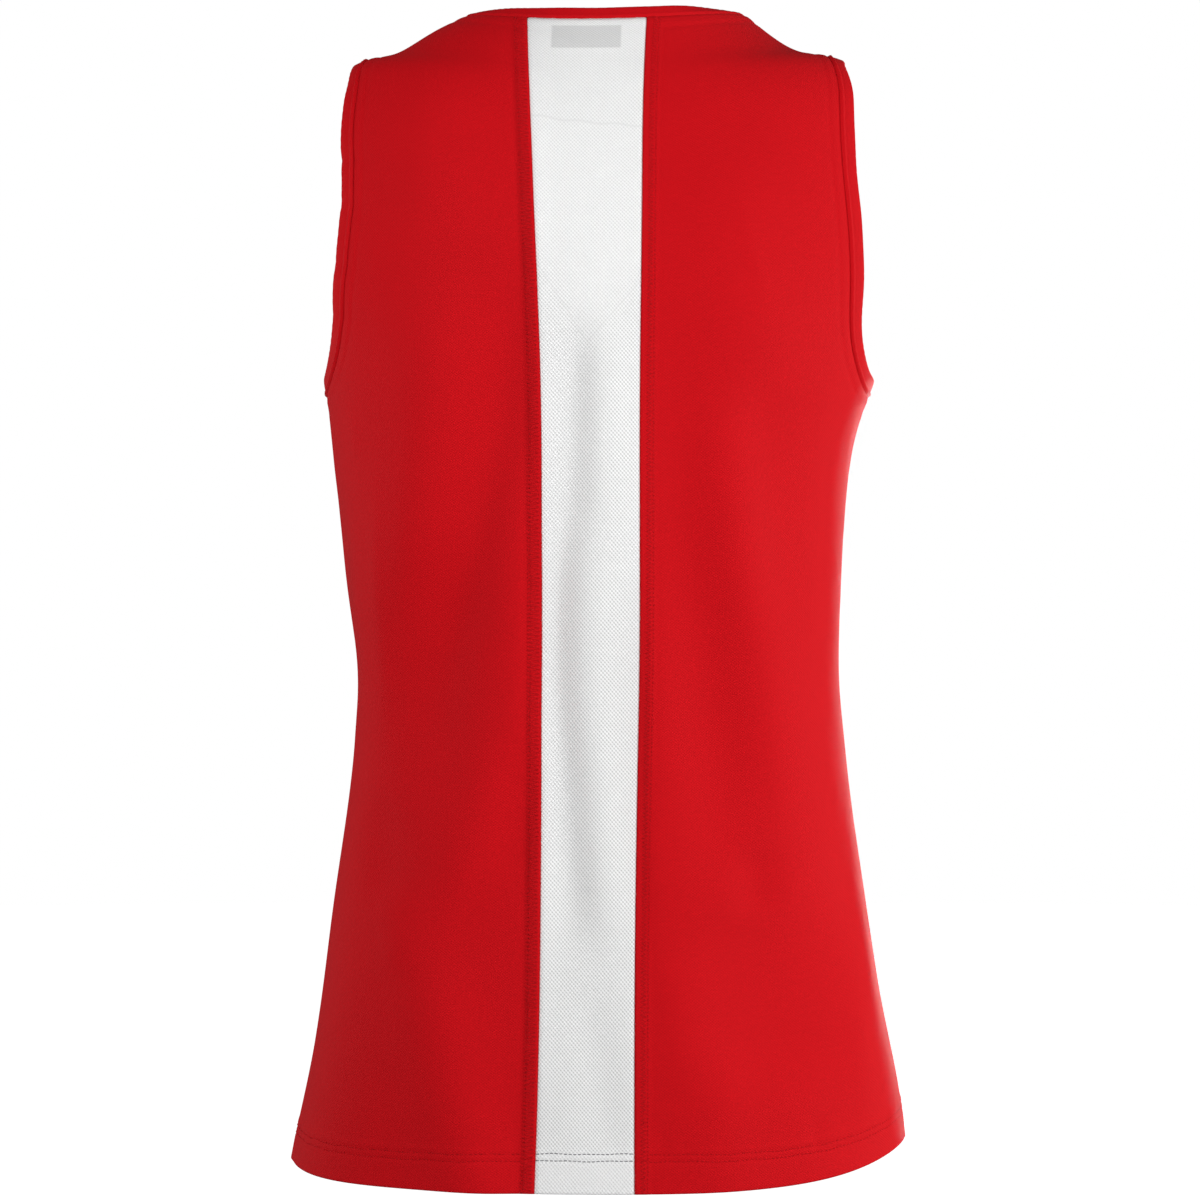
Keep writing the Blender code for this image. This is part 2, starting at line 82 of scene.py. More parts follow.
# Sections of the worn form, from the hem up. side_height, back_height and front_height are the
# heights of one section at its side, centre back and centre front. left, right, back and front
# are its reach from the axis. squareness is 2 for an ellipse and more for a boxier section.
SECTION_COLUMNS = (
    "side_height", "left", "right", "back_height", "back", "front_height", "front", "squareness",
)
SECTIONS = (
    (-615.4, 168.2, 167, -615.4, 106, -615.4, 109, 2.15),
    (-578, 161, 163.5, -578, 105, -578, 108, 2.18),
    (-524, 152, 153, -524, 103, -524, 106, 2.2),
    (-470, 145, 144.5, -470, 100, -470, 102, 2.22),
    (-415, 137, 136.5, -415, 97.5, -415, 99, 2.22),
    (-350, 133.2, 131.2, -350, 97, -350, 101, 2.22),
    (-300, 138.8, 132, -300, 100, -300, 108, 2.22),
    (-250, 143.2, 134.2, -250, 104, -250, 116, 2.2),
    (-213, 146.8, 140, -213, 106.5, -214, 119, 2.15),
    (-192, 149.3, 147, -192, 107.5, -194, 118.5, 2.1),
    (-170, 153, 153.6, -171, 108.3, -175, 117, 2.05),
    (-135, 160.2, 165, -138, 108, -146, 111.5, 2),
    (-90, 157.5, 164.5, -100, 104, -112, 101, 2),
    (-45, 152.5, 155, -66, 96, -82, 90, 2),
    (-24, 142.5, 144.5, -46, 89.5, -68, 82, 2),
    (-15, 134.5, 134, -35, 85, -61, 77, 2),
    (-11.5, 125.5, 124, -28, 82, -55, 73, 2),
    (-9.3, 113.5, 110, -20, 78, -47, 68, 2),
    (-3.6, 102, 98, -12, 74, -39, 62, 2.02),
    (4.6, 88, 87, -4.5, 70, -30, 56, 2.05),
    (11, 73.5, 79, 2, 66, -22, 50, 2.1),
)

# Edges of the mesh strip across the back, by height
STRIP_COLUMNS = ("height", "left", "right")
STRIP = (
    (-616, 28, -24.5),
    (-514, 25.4, -24.5),
    (-410, 25.2, -25.4),
    (-306, 24.7, -27),
    (-202, 24.5, -27.5),
    (-98, 28.4, -28.3),
    (-46, 31.6, -28.2),
    (2, 35.3, -28.8),
)

# How far the hem line lifts above a level one, by the angle round the body
LIFT_COLUMNS = ("angle", "lift", "spread")
HEM_LIFTS = (
    (0, 4.8, 25),
    (180, 18.5, 38),
    (262, 6, 40),
)

# Folds, by the face of the body. Each runs from its start down to its end. across is the sideways
# coordinate there (x on back and front, y on the sides), and bow moves its middle across. Its
# height is how far its crest stands out, or in when it is a trough. width_before and width_after
# are the widths of its slopes towards higher and towards lower across.
FOLD_COLUMNS = (
    "start_across", "start_height", "end_across", "end_height", "bow",
    "width_before", "width_after", "height",
)
FOLDS = {
    "back": (
        # Left panel
        (87, -110, 109, -345, -15, 27, 30, 5.8),
        (84, -5, 84, -130, 0, 22, 30, 3),
        (42, -98, 112, -410, -19, 24, 16, -4.5),
        (70, -265, 86, -420, 0, 30, 16, -3),
        (36, -215, 40, -390, 0, 16, 10, 2.5),
        (30, -330, 92, -520, 0, 20, 14, 3.4),
        (34, -370, 40, -470, 0, 12, 12, -1.8),
        (70, -440, 86, -520, 0, 16, 16, -1.2),
        (98, -450, 42, -690, 0, 26, 22, 6.4),
        (37, -530, 37, -690, 0, 12, 10, -1.5),
        (114, -402, 110, -478, 0, 12, 14, -2),
        (107, -448, 100, -510, 0, 12, 16, 1.6),
        (114, -225, 114, -400, 0, 4.5, 5, 0.8),
        (131, -200, 126, -234, 0, 3, 3, 0.4),
        # Mesh strip
        (30.5, 20, 21, -330, 0, 7, 6, 1.1),
        (22.5, -200, 25.5, -640, 0, 7, 6, 1.1),
        (6, -140, 13, -290, 0, 12, 8, -3),
        (10.5, -239, 14, -410, 7, 12, 9, -3.8),
        (17, -353, 7, -504, 0, 12, 10, -3.2),
        (-9.5, -140, -6, -290, 0, 9, 15, 3.2),
        (-8, -239, -5.5, -410, 5, 11, 17, 3.8),
        (-1.5, -353, -13, -504, 0, 13, 15, 3.4),
        (4, -490, -14, -610, 0, 12, 11, -1.4),
        # Right panel
        (-66, -50, -92, -215, 0, 30, 28, 4),
        (-92, -170, -108, -335, 0, 18, 26, -3.4),
        (-61, -180, -116, -475, 1.5, 18, 20, 3.8),
        (-46, -140, -80, -480, 7, 18, 18, -3.8),
        (-32, -270, -36, -520, 0, 6, 24, 3.4),
        (-84, -450, -104, -576, 0, 36, 34, -5.6),
        (-42, -480, -52, -570, 0, 10, 20, 1.6),
        (-66, -525, -68, -640, 0, 24, 20, 2.6),
        (-138, -460, -146, -600, 0, 14, 12, 2),
        (-86, -432, -89, -476, 0, 11, 12, -2.2),
        (-74, -85, -92, -156, 0, 4, 5, 0.5),
        (-138, -380, -143, -590, 0, 5, 5, 0.7),
        # Hem
        (-38, -576, -38, -602, 0, 3, 3, -0.5),
        (-118, -574, -119, -600, 0, 3, 3, -0.5),
        (52, -580, 52.5, -606, 0, 3, 3, -0.4),
        # Pulls at the left armhole
        (146, -66, 112, -74, 1, 4, 4, -0.5),
        (148, -88, 116, -100, 1, 4.5, 4.5, -0.5),
        (146, -126, 114, -132, -1, 5, 5, -0.6),
        (144, -152, 112, -162, -1, 5, 5, -0.5),
    ),
    "front": (
        (62, -190, 40, -420, -8, 24, 20, -4.4),
        (-58, -200, -44, -430, 8, 20, 24, -4.2),
        (6, -260, -4, -470, 0, 20, 18, 2.4),
        (84, -500, 96, -625, 0, 22, 22, -3.6),
        (-78, -490, -92, -625, 0, 24, 20, -3.8),
        (34, -520, 30, -625, 0, 18, 18, 2.4),
    ),
    "left": (
        (26, -230, 8, -380, 3, 18, 18, -2.4),
        (-30, -440, -36, -610, 0, 20, 20, 2.4),
        (9, -545, 9, -700, 0, 7, 7, 1.3),
    ),
    "right": (
        (-24, -225, -6, -390, 3, 18, 18, -2.4),
        (34, -450, 42, -600, 0, 20, 20, 2.2),
    ),
}
FOLD_TAPER = 0.35

# How a face's folds fade out towards the next face: steepness, and share of the way round at
# which they end
FACE_FADE = 2.5
SIDE_FADE = 2.0
SIDE_FADE_START = 0.3

# Steps of the fine grids
CURVE_SAMPLES = 600
SIDE_STEPS = 140
ARMHOLE_STEPS = 102
BACK_NECK_STEPS = 30
BELOW_V_STEPS = 12
PANEL_COLUMNS = 76
STRIP_GRID_COLUMNS = 30
HEM_EDGE_RISES = (0.0, 0.25, 0.6)
HEM_ROW_STEP = 1.0
FINE_ROWS_ABOVE_HEM = 5.0
EDGE_CROWDING = 0.62
TURN_STEP = 0.002
RISE_STEP = 0.5
GIRTH_TURNS = 1441
GIRTH_RISES = 121

# Each kind of seam: how deep the cloth rolls in at it, how wide the roll is, how high the layers
# under the cloth lift it beside the seam, and how far out they reach
SEAM_COLUMNS = ("roll_depth", "roll_width", "lift", "layers_to")
SEAMS = {
    "strip_red": (0.35, 0.8, 0.35, 7.2),
    "strip_white": (0.55, 1.1, 0.0, 1.0),
    "side": (0.75, 1.8, 0.15, 6.0),
    "shoulder": (0.55, 1.4, 0.5, 6.5),
    "band": (0.55, 1.3, 0.25, 6.0),
}
LAYER_EDGE = 1.6
LAYER_DIP = 0.18

# Hem: how round its edge is, how far its double cloth stands proud, how far its stitches draw it
# in, the puckers along the top of the turn-up, and where its rows of stitches lie
HEM_ROUNDNESS = 0.96
HEM_PROUD = 0.3
HEM_FOLD_EDGE = (-1.0, 2.5)
HEM_LAYER_EDGE = 0.6
HEM_SEWN = 0.35
HEM_SEWN_WIDTH = 1.0
PUCKER_HEIGHT = 0.1
PUCKER_PITCH = 9.0
PUCKER_REACH = 6.0
HEM_ROW_BELOW_TOP = 1.2
HEM_ROW_DROP = 2.5
HEM_ROW_SPREAD = 0.18

# Relief on a binding beside its seam: bells, each of a height, plus a share of the binding's
# ridge, centred at a distance from the seam. BAND_RELIEF_END is where the fine steps end, and
# BAND_FACE_PLACE is a place of the cross section on its outer face.
BELL_COLUMNS = ("height", "ridge_share", "centre", "width")
BAND_BELLS = (
    (-0.6, 0.0, 0.0, 0.7),
    (0.0, 1.0, 1.5, 0.85),
    (0.0, -0.45, 3.1, 0.7),
)
BAND_RELIEF_END = 3.6
BAND_FOLD_REACH = 1.6
BAND_EDGE_TUCK = 0.5
BAND_FACE_PLACE = 6

# Unevenness along a binding: the share by which its width wavers and the lengths of its two
# waves, the share by which pulls raise its outer face, their pitch, and how slowly it drifts
WAVER_SHARE = 0.03
WAVER_SHORT = 9.0
WAVER_LONG = 23.0
PULL_SHARE = 0.10
PULL_PITCH = 5.1
PULL_DRIFT = 17.0

# How far below its top an armhole binding turns down, and how far out from the middle the neck
# binding starts to lean in and leans in fully. Angles are degrees.
DROOP_REACH = 26.0
DROOPS = {"left": 11.0, "right": 8.0}
LEAN_REACHES = (40.0, 78.0)
LEAN_LEFT = 14.0
LEAN_RIGHT = 32.0
NECK_RIDGE = 0.08
ARMHOLE_RIDGE = 0.5

# Stitches: pitch and length as shares of the stitch size, radius and how deep the ends sink as
# shares of the thread's radius
STITCH_COLUMNS = ("pitch", "length", "radius", "sink")
STITCHES = {
    "strip": (1.0, 0.78, 1.05, 1.6),
    "hem": (1.15, 0.989, 1.1, 1.65),
}
STITCH_RINGS = 5
STITCH_SIDES = 6
STITCH_RISE = 0.75
STITCH_TAPER = 0.35
STITCH_STEP = 0.05
RUNG_SIDES = 4
RUNG_STEPS = 8
RUNG_LIFT = 0.04

# How the hem rows stray from their line round the body: reach, waves for each radian of turn,
# and how much later they come in the upper row
HEM_WANDER = (
    (0.22, 31.0, 0.0),
    (0.15, 67.0, 3.0),
)

# Sewing beside the mesh strip: reaches out from its edge. The rungs of the cover stitch run
# between two reaches, and each needle row lies at its own.
STRIP_THREADS = (
    (1, "left", 1.0, 6.8, (5.6, 6.9)),
    (-1, "right", 3.2, 5.6, (6.8,)),
)

LABEL_WIDTH = 37.0
LABEL_DROP = 12.5
LABEL_CENTRE = 3.0
LABEL_BELOW_NECK = 2.0
LABEL_GAP = 0.9
LABEL_THICKNESS = 0.5
LABEL_ROWS = 15
LABEL_COLUMNS = 31

# What shows through the mesh strip's holes: painted light above the V of the front's neck, painted
# shade of the dim inside below it, the V's own edge, the edge of the cloth inside the back neck,
# the turned-up hem, and the label.
# Steepness is rise over reach on each side of the V's point.
V_STEEPNESS_LEFT = 1.64
V_STEEPNESS_RIGHT = 1.2
V_SOFTNESS = 26.0
V_LINE_STRENGTH = 0.4
SEEN_LINE_WIDTH = 0.7
NECK_LINE_HEIGHT = -56.0
NECK_LINE_SLANT = 0.11
NECK_LINE_WAVE = 0.5
NECK_LINE_WAVE_RATE = 0.33
NECK_LINE_STRENGTH = 0.45
HEM_SEEN_TOP = 22.8
HEM_SEEN_SOFTNESS = 0.8
LABEL_SEEN_BELOW_NECK = 4.3
LABEL_SOFT_EDGE = 0.8
LABEL_SEEN_SHARE = 0.75
LABEL_SEEN_SHADE = 0.73
SEEN_LINE_SHADE = 0.86
# Hole colours: lighter with painted light through the open neck above the V and with the doubled
# cloth at the hem, darker with painted shade of the dim inside elsewhere
LIT_AND_HEM_HOLE_SHADE = 0.88
PAINTED_DIM_HOLE_SHADE = 0.74

# Cloth finishes. across and along are the size of a knit cell and uneven is how far it strays, in
# metres. tone_low and tone_high are the range of the mottle's tint.
FINISH_COLUMNS = (
    "sheen", "sheen_tint", "roughness", "across", "along", "uneven", "slow_scale", "tone_low",
    "tone_high", "bump", "bump_depth",
)
PINK = (1.0, 0.5, 0.5)
WHITE = (1.0, 1.0, 1.0)
FINISHES = {
    "red_pique_knit": (
        0.022, PINK, 0.72, 0.00182, 0.0014, 0.00025, 30.0, 0.96, 1.04, 0.4, 0.00025,
    ),
    "red_binding": (0.022, PINK, 0.68, 0.0012, 0.0011, 0.0001, 60.0, 0.93, 1.06, 0.35, 0.00015),
    "white_mesh_knit": (0.15, WHITE, 0.8, 0.0019, 0.0022, 0.00025, 40.0, 0.97, 1.02, 0.5, 0.0003),
    "label_tape": (0.1, WHITE, 0.6, 0.0006, 0.0006, 0.00005, 30.0, 1.0, 1.0, 0.0, 0.0001),
}
# Values of the knit's cells and of the mottle between which a pit, a hole and the tint come on,
# and the share of the mesh's grain that runs aslant
PIT_RANGE = (0.25, 0.95)
HOLE_RANGE = (0.30, 0.92)
TONE_RANGE = (0.25, 0.75)
MESH_SLANT = 0.15

FLOOR_DROP = 0.9
FLOOR_RADIUS = 6.0
WORLD_LIGHT = 0.06
CAMERA_AZIMUTH = math.radians(3.5)
CAMERA_DISTANCE = 2.3
CAMERA_HEIGHT = -0.306
CAMERA_LENS = 126.6

# Soft lights. azimuth is the angle from straight behind the wearer towards the wearer's right
LIGHT_COLUMNS = ("name", "azimuth", "elevation", "distance", "size", "power", "spread")
LIGHTS = (
    ("key_light", 50, -10, 2.2, 0.9, 33, 180),
    ("fill_light", -30, 20, 1.2, 0.6, 8, 180),
    ("right_rim_light", 100, 0, 1.5, 0.9, 12, 180),
    ("left_rim_light", -108, 0, 1.5, 0.9, 6, 180),
    ("top_light", 60, 50, 2, 0.9, 8.4, 180),
    ("front_light", 165, -12, 2.2, 1.2, 6.5, 45),
)


# Tables and curves


def columns(names, table):
    """A table's columns as arrays, by name."""
    return dict(zip(names, np.array(table, dtype=float).T))


def rows(names, table):
    """A table's rows, each with its values by name."""
    return [dict(zip(names, row)) for row in table]


SECTION = columns(SECTION_COLUMNS, SECTIONS)
STRIP_EDGES = columns(STRIP_COLUMNS, STRIP)


def spline_bends(knots, values):
    """Second slopes, at the knots, of the natural cubic curve through the values."""
    steps = np.diff(knots)
    matrix = np.eye(len(knots))
    bends = np.zeros(len(knots))
    for i in range(1, len(knots) - 1):
        matrix[i, i - 1:i + 2] = (steps[i - 1], 2.0 * (steps[i - 1] + steps[i]), steps[i])
        slope_after = (values[i + 1] - values[i]) / steps[i]
        slope_before = (values[i] - values[i - 1]) / steps[i - 1]
        bends[i] = 6.0 * (slope_after - slope_before)
    return np.linalg.solve(matrix, bends)


def spline(knots, values, bends, wanted):
    """Height at the wanted places of the cubic curve that spline_bends prepared."""
    place = np.clip(np.searchsorted(knots, wanted) - 1, 0, len(knots) - 2)
    step = knots[place + 1] - knots[place]
    after = (wanted - knots[place]) / step
    before = 1.0 - after
    curved = (before ** 3 - before) * bends[place] + (after ** 3 - after) * bends[place + 1]
    return before * values[place] + after * values[place + 1] + curved * step ** 2 / 6.0


def running(steps):
    """Distance from the start to each end of a row of steps."""
    return np.concatenate(([0.0], np.cumsum(steps)))


def distances(points):
    """Distance along a line of points, at each of them."""
    return running(np.linalg.norm(np.diff(points, axis=0), axis=1))


def section_distances():
    """Distance up the cloth from the hem to each section: the mean of its side and its back."""
    side, back = (
        np.hypot(np.diff(SECTION[height]), np.diff(SECTION[reach]))
        for height, reach in (("side_height", "left"), ("back_height", "back"))
    )
    return running((side + back) / 2.0)


DISTANCES = section_distances()
TOP = DISTANCES[-1]
BENDS = {name: spline_bends(DISTANCES, SECTION[name]) for name in SECTION_COLUMNS}


def section(name, rise):
    """A column of the section table, read smoothly at any rise."""
    return spline(DISTANCES, SECTION[name], BENDS[name], rise)


def toward(direction, ahead, behind, rise):
    """One section column where a direction is positive, another where it is negative."""
    return np.where(direction >= 0.0, section(ahead, rise), section(behind, rise))


def rise_at(name, height):
    """Rise at which the named height column reaches a height."""
    samples = np.linspace(0.0, TOP, CURVE_SAMPLES)
    return np.interp(height, section(name, samples), samples)


def back_rise(height):
    """Rise at which the centre back reaches one height."""
    return float(rise_at("back_height", height))


UNDERARM_RISE = float(rise_at("side_height", UNDERARM))


def smooth(low, high, value):
    """0 below low, 1 above high and an S curve between: t squared times (3 - 2t)."""
    share = np.clip((value - low) / (high - low), 0.0, 1.0)
    return share * share * (3.0 - 2.0 * share)


def bell(away, width):
    """1 at nought, falling off on both sides: exp(-(distance / width)^2)."""
    return np.exp(-(away / width) ** 2)


def unit(vectors):
    """Vectors of length one."""
    return vectors / np.linalg.norm(vectors, axis=-1, keepdims=True)


# The worn form


def form(turn, rise):
    """Point of the smooth form: a squared ellipse whose sides, back and front have own reach."""
    across, along = np.cos(turn), np.sin(turn)
    power = 2.0 / section("squareness", rise)
    x = toward(across, "left", "right", rise) * np.sign(across) * np.abs(across) ** power
    y = toward(along, "back", "front", rise) * np.sign(along) * np.abs(along) ** power
    side_height = section("side_height", rise)
    end_height = toward(along, "back_height", "front_height", rise)
    return np.stack((x, y, side_height + (end_height - side_height) * along ** 2), axis=-1)


def outward(shape, turn, rise):
    """Outward normal of a shape: its slope round the body crossed with its slope up the body."""
    round_body = shape(turn + TURN_STEP, rise) - shape(turn - TURN_STEP, rise)
    up_body = shape(turn, rise + RISE_STEP) - shape(turn, rise - RISE_STEP)
    return unit(np.cross(round_body, up_body))


def fold_height(points, turn):
    """How far the folds push the form out: each is a bell across its line, tapered at its ends."""
    across, along = np.cos(turn), np.sin(turn)
    shares = {
        "back": along * FACE_FADE,
        "front": -along * FACE_FADE,
        "left": (across - SIDE_FADE_START) * SIDE_FADE,
        "right": (-across - SIDE_FADE_START) * SIDE_FADE,
    }
    total = np.zeros(points.shape[:-1])
    for face, table in FOLDS.items():
        share = np.clip(shares[face], 0.0, 1.0)
        sideways = points[..., 0 if face in ("back", "front") else 1]
        for fold in rows(FOLD_COLUMNS, table):
            run_across = fold["end_across"] - fold["start_across"]
            run_down = fold["end_height"] - fold["start_height"]
            length = math.hypot(run_across, run_down)
            from_start = sideways - fold["start_across"]
            below_start = points[..., 2] - fold["start_height"]
            run = (from_start * run_across + below_start * run_down) / length ** 2
            beside = (below_start * run_across - from_start * run_down) / length
            beside = beside - fold["bow"] * 4.0 * run * (1.0 - run)
            width = np.where(beside > 0.0, fold["width_before"], fold["width_after"])
            ends = smooth(0.0, FOLD_TAPER, np.minimum(run, 1.0 - run))
            total = total + share * fold["height"] * bell(beside, width) * ends
    return total


def surface(turn, rise):
    """Point of the cloth's outer face: the form with its folds."""
    base = form(turn, rise)
    return base + fold_height(base, turn)[..., None] * outward(form, turn, rise)


def turn_at(x, rise):
    """Angle, on the back half, at which the form's section reaches a sideways place x."""
    share = np.clip(np.abs(x) / toward(x, "left", "right", rise), 0.0, 1.0)
    return np.arccos(np.sign(x) * share ** (section("squareness", rise) / 2.0))


def girth_table():
    """Distance round the form from the centre back, at equal height, by rise and turn."""
    turns = np.linspace(-1.5 * math.pi, 2.5 * math.pi, GIRTH_TURNS)
    rises = np.linspace(0.0, TOP, GIRTH_RISES)
    points = form(turns[None, :], rises[:, None])
    steps = np.linalg.norm(np.diff(points, axis=1), axis=-1)
    run = np.concatenate((np.zeros((GIRTH_RISES, 1)), np.cumsum(steps, axis=1)), axis=1)
    back = np.argmin(np.abs(turns - math.pi / 2.0))
    return turns, rises, run - run[:, back:back + 1]


GIRTH = girth_table()


def girth(turn, rise):
    """Distance round the cloth from the centre back, read between the table's four neighbours."""
    turns, rises, table = GIRTH
    column = (turn - turns[0]) / (turns[1] - turns[0])
    row = np.clip(rise, 0.0, TOP) / (rises[1] - rises[0])
    i = np.clip(column.astype(int), 0, len(turns) - 2)
    j = np.clip(row.astype(int), 0, len(rises) - 2)
    s, t = column - i, row - j
    low = table[j, i] * (1.0 - s) + table[j, i + 1] * s
    high = table[j + 1, i] * (1.0 - s) + table[j + 1, i + 1] * s
    return low * (1.0 - t) + high * t


# Edges of the pieces


def spread_evenly(turn, rise, steps):
    """Places along a line on the cloth, evenly spaced by length, with the given step count."""
    run = distances(surface(turn, rise))
    wanted = np.linspace(0.0, run[-1], steps + 1)
    return np.interp(wanted, run, turn), np.interp(wanted, run, rise)


def hem_lift(turn):
    """Lift of the hem line, round the body: a bell at each angle of the table."""
    total = np.zeros_like(turn)
    for row in rows(LIFT_COLUMNS, HEM_LIFTS):
        away = np.angle(np.exp(1j * (turn - math.radians(row["angle"]))))
        total = total + row["lift"] * bell(away, math.radians(row["spread"]))
    return total


def lifted(turn, rise):
    """Rise of a place once the hem line is lifted: all of the lift at the hem, none by the arm."""
    return rise + np.clip(1.0 - rise / UNDERARM_RISE, 0.0, 1.0) * hem_lift(turn)


def side_rises(sizes):
    """Rises of the rows from the hem edge to the underarm, close together at the hem."""
    above_hem = sizes.hem_turn_up / MM + FINE_ROWS_ABOVE_HEM
    hem = np.linspace(HEM_ROW_STEP, above_hem, int(round(above_hem / HEM_ROW_STEP)))
    plain = np.linspace(above_hem, UNDERARM_RISE, SIDE_STEPS + 1)
    return np.concatenate((HEM_EDGE_RISES, hem, plain[1:]))


def armhole_line(reach):
    """Half of an armhole, from the underarm to the shoulder tip: half of a squared oval."""
    low, high = rise_at("side_height", (UNDERARM, SHOULDER_TIP))
    angle = np.linspace(0.0, math.pi, CURVE_SAMPLES)
    upper = angle > math.pi / 2.0
    squareness = np.where(upper, ARMHOLE_UPPER_SQUARENESS, ARMHOLE_LOWER_SQUARENESS)
    height = -np.sign(np.cos(angle)) * np.abs(np.cos(angle)) ** (2.0 / squareness)
    turn = reach * np.sin(angle) ** (2.0 / squareness)
    rise = (low + high) / 2.0 + (high - low) / 2.0 * height
    return spread_evenly(turn, rise, ARMHOLE_STEPS)


def end_to_end(*lines):
    """Lines on the cloth joined into one, each place where two of them meet named once."""
    first, *others = lines
    turn, rise = ([first[i]] + [line[i][1:] for line in others] for i in (0, 1))
    return np.concatenate(turn), np.concatenate(rise)


def outer_edge(sizes, side, reach):
    """Side seam and then armhole of a panel, from the hem to the shoulder tip."""
    rise = side_rises(sizes)
    turn, rise = end_to_end((np.zeros_like(rise), rise), armhole_line(abs(reach)))
    turn = np.sign(reach) * turn
    return (turn if side > 0 else np.sign(reach) * math.pi - turn), rise


def beside_strip(side, rise, distance=0.0):
    """Places a distance out from one edge of the mesh strip, at the given rises."""
    heights = STRIP_EDGES["height"]
    edge = STRIP_EDGES["left" if side > 0 else "right"]
    bends = spline_bends(heights, edge)
    x = spline(heights, edge, bends, section("back_height", rise))
    return turn_at(x + side * distance, rise), rise


def strip_turn(side, rise):
    """Angle of one edge of the mesh strip, at one rise."""
    return float(beside_strip(side, np.array([rise]))[0][0])


def strip_edge(sizes, side):
    """One edge of the mesh strip, hem to neck, with the same rows as the panel beside it."""
    low = side_rises(sizes)
    high = np.linspace(low[-1], TOP, ARMHOLE_STEPS - BACK_NECK_STEPS + 1)
    return beside_strip(side, np.concatenate((low, high[1:])))


def back_neck(side):
    """The back neckline from the strip to the neck point: the top section of the form."""
    turn = np.linspace(strip_turn(side, TOP), 0.0 if side > 0 else math.pi, CURVE_SAMPLES)
    return spread_evenly(turn, np.full_like(turn, TOP), BACK_NECK_STEPS)


def front_neck(side, point=V_POINT_HEIGHT):
    """Half of the V neckline, from its point to the neck point: a line with a rounded foot."""
    half_width = section("left" if side > 0 else "right", TOP)
    low = rise_at("front_height", point)
    across = np.linspace(0.0, half_width, CURVE_SAMPLES)
    climb = np.hypot(across, V_ROUNDING) - V_ROUNDING
    rise = low + (TOP - low) * climb / climb[-1]
    return spread_evenly(-turn_at(side * across, rise), rise, ARMHOLE_STEPS - BELOW_V_STEPS)


def patch(inner, outer, count):
    """Grid of places between two edges: straight blends across, crowded towards both edges.

    The share of the way across is s - c sin(2 pi s) / (2 pi), so rows are closest at the edges.
    """
    even = np.linspace(0.0, 1.0, count + 1)
    share = even - EDGE_CROWDING * np.sin(2.0 * math.pi * even) / (2.0 * math.pi)
    return tuple(
        (1.0 - share) * start[:, None] + share * end[:, None] for start, end in zip(inner, outer)
    )


def back_panel(sizes, side):
    """Grid of a back panel. Its rows run from the strip and neck to the side and armhole."""
    inner = end_to_end(strip_edge(sizes, side), back_neck(side))
    return patch(inner, outer_edge(sizes, side, ARMHOLE_REACH_BACK), PANEL_COLUMNS)


def strip_panel(sizes):
    """Grid of the mesh strip, from its left edge to its right edge."""
    return patch(strip_edge(sizes, 1), strip_edge(sizes, -1), STRIP_GRID_COLUMNS)


def front_half(sizes, side):
    """Grid of half of the front. Its rows run from the centre and V to the side and armhole."""
    neck = front_neck(side)
    low = side_rises(sizes)
    high = np.linspace(low[-1], neck[1][0], BELOW_V_STEPS + 1)
    rise = np.concatenate((low, high[1:]))
    inner = end_to_end((np.full_like(rise, -math.pi / 2.0), rise), neck)
    return patch(inner, outer_edge(sizes, side, -ARMHOLE_REACH_FRONT), PANEL_COLUMNS)


def reversed_line(line):
    """The same line on the cloth, run the other way."""
    return line[0][::-1], line[1][::-1]


def closed_loop(*lines):
    """Lines that come back to their start, joined, with the start named once."""
    turn, rise = end_to_end(*lines)
    return turn[:-1], rise[:-1]


def neck_loop(point=V_POINT_HEIGHT):
    """The whole neckline: back left, strip, back right, then the V from right to left."""
    across = np.linspace(strip_turn(1, TOP), strip_turn(-1, TOP), STRIP_GRID_COLUMNS + 1)
    back = (reversed_line(back_neck(1)), (across, np.full_like(across, TOP)), back_neck(-1))
    return closed_loop(*back, reversed_line(front_neck(-1, point)), front_neck(1, point))


def armhole_loop(side):
    """A whole armhole: up the back from the underarm, then down the front."""
    front = armhole_line(ARMHOLE_REACH_FRONT)
    turn, rise = closed_loop(
        armhole_line(ARMHOLE_REACH_BACK), reversed_line((-front[0], front[1]))
    )
    return (turn if side > 0 else math.pi - turn), rise


# Relief at the seams and the hem


def seam_lines():
    """Every seam as points on the cloth, by its name."""
    hem_to_arm = np.linspace(0.0, UNDERARM_RISE, CURVE_SAMPLES)
    hem_to_neck = np.linspace(0.0, TOP, CURVE_SAMPLES)
    shoulder = np.linspace(TOP, rise_at("side_height", SHOULDER_TIP), CURVE_SAMPLES // 4 + 1)
    places = {"neck": neck_loop(V_RELIEF_HEIGHT)}
    for side, name in SIDES:
        side_turn = 0.0 if side > 0 else math.pi
        places["strip_" + name] = beside_strip(side, hem_to_neck)
        places["side_" + name] = (np.full_like(hem_to_arm, side_turn), hem_to_arm)
        places["shoulder_" + name] = (np.full_like(shoulder, side_turn), shoulder)
        places["armhole_" + name] = armhole_loop(side)
    return {name: surface(*place) for name, place in places.items()}


SEAM_LINES = seam_lines()


def distance_to(points, line):
    """Distance from each point to the nearest point of a line."""
    flat = points.reshape(-1, 3)
    squares = (
        np.sum(flat ** 2, axis=1)[:, None] + np.sum(line ** 2, axis=1)[None, :]
        - 2.0 * flat @ line.T
    )
    return np.sqrt(np.maximum(squares.min(axis=1), 0.0)).reshape(points.shape[:-1])


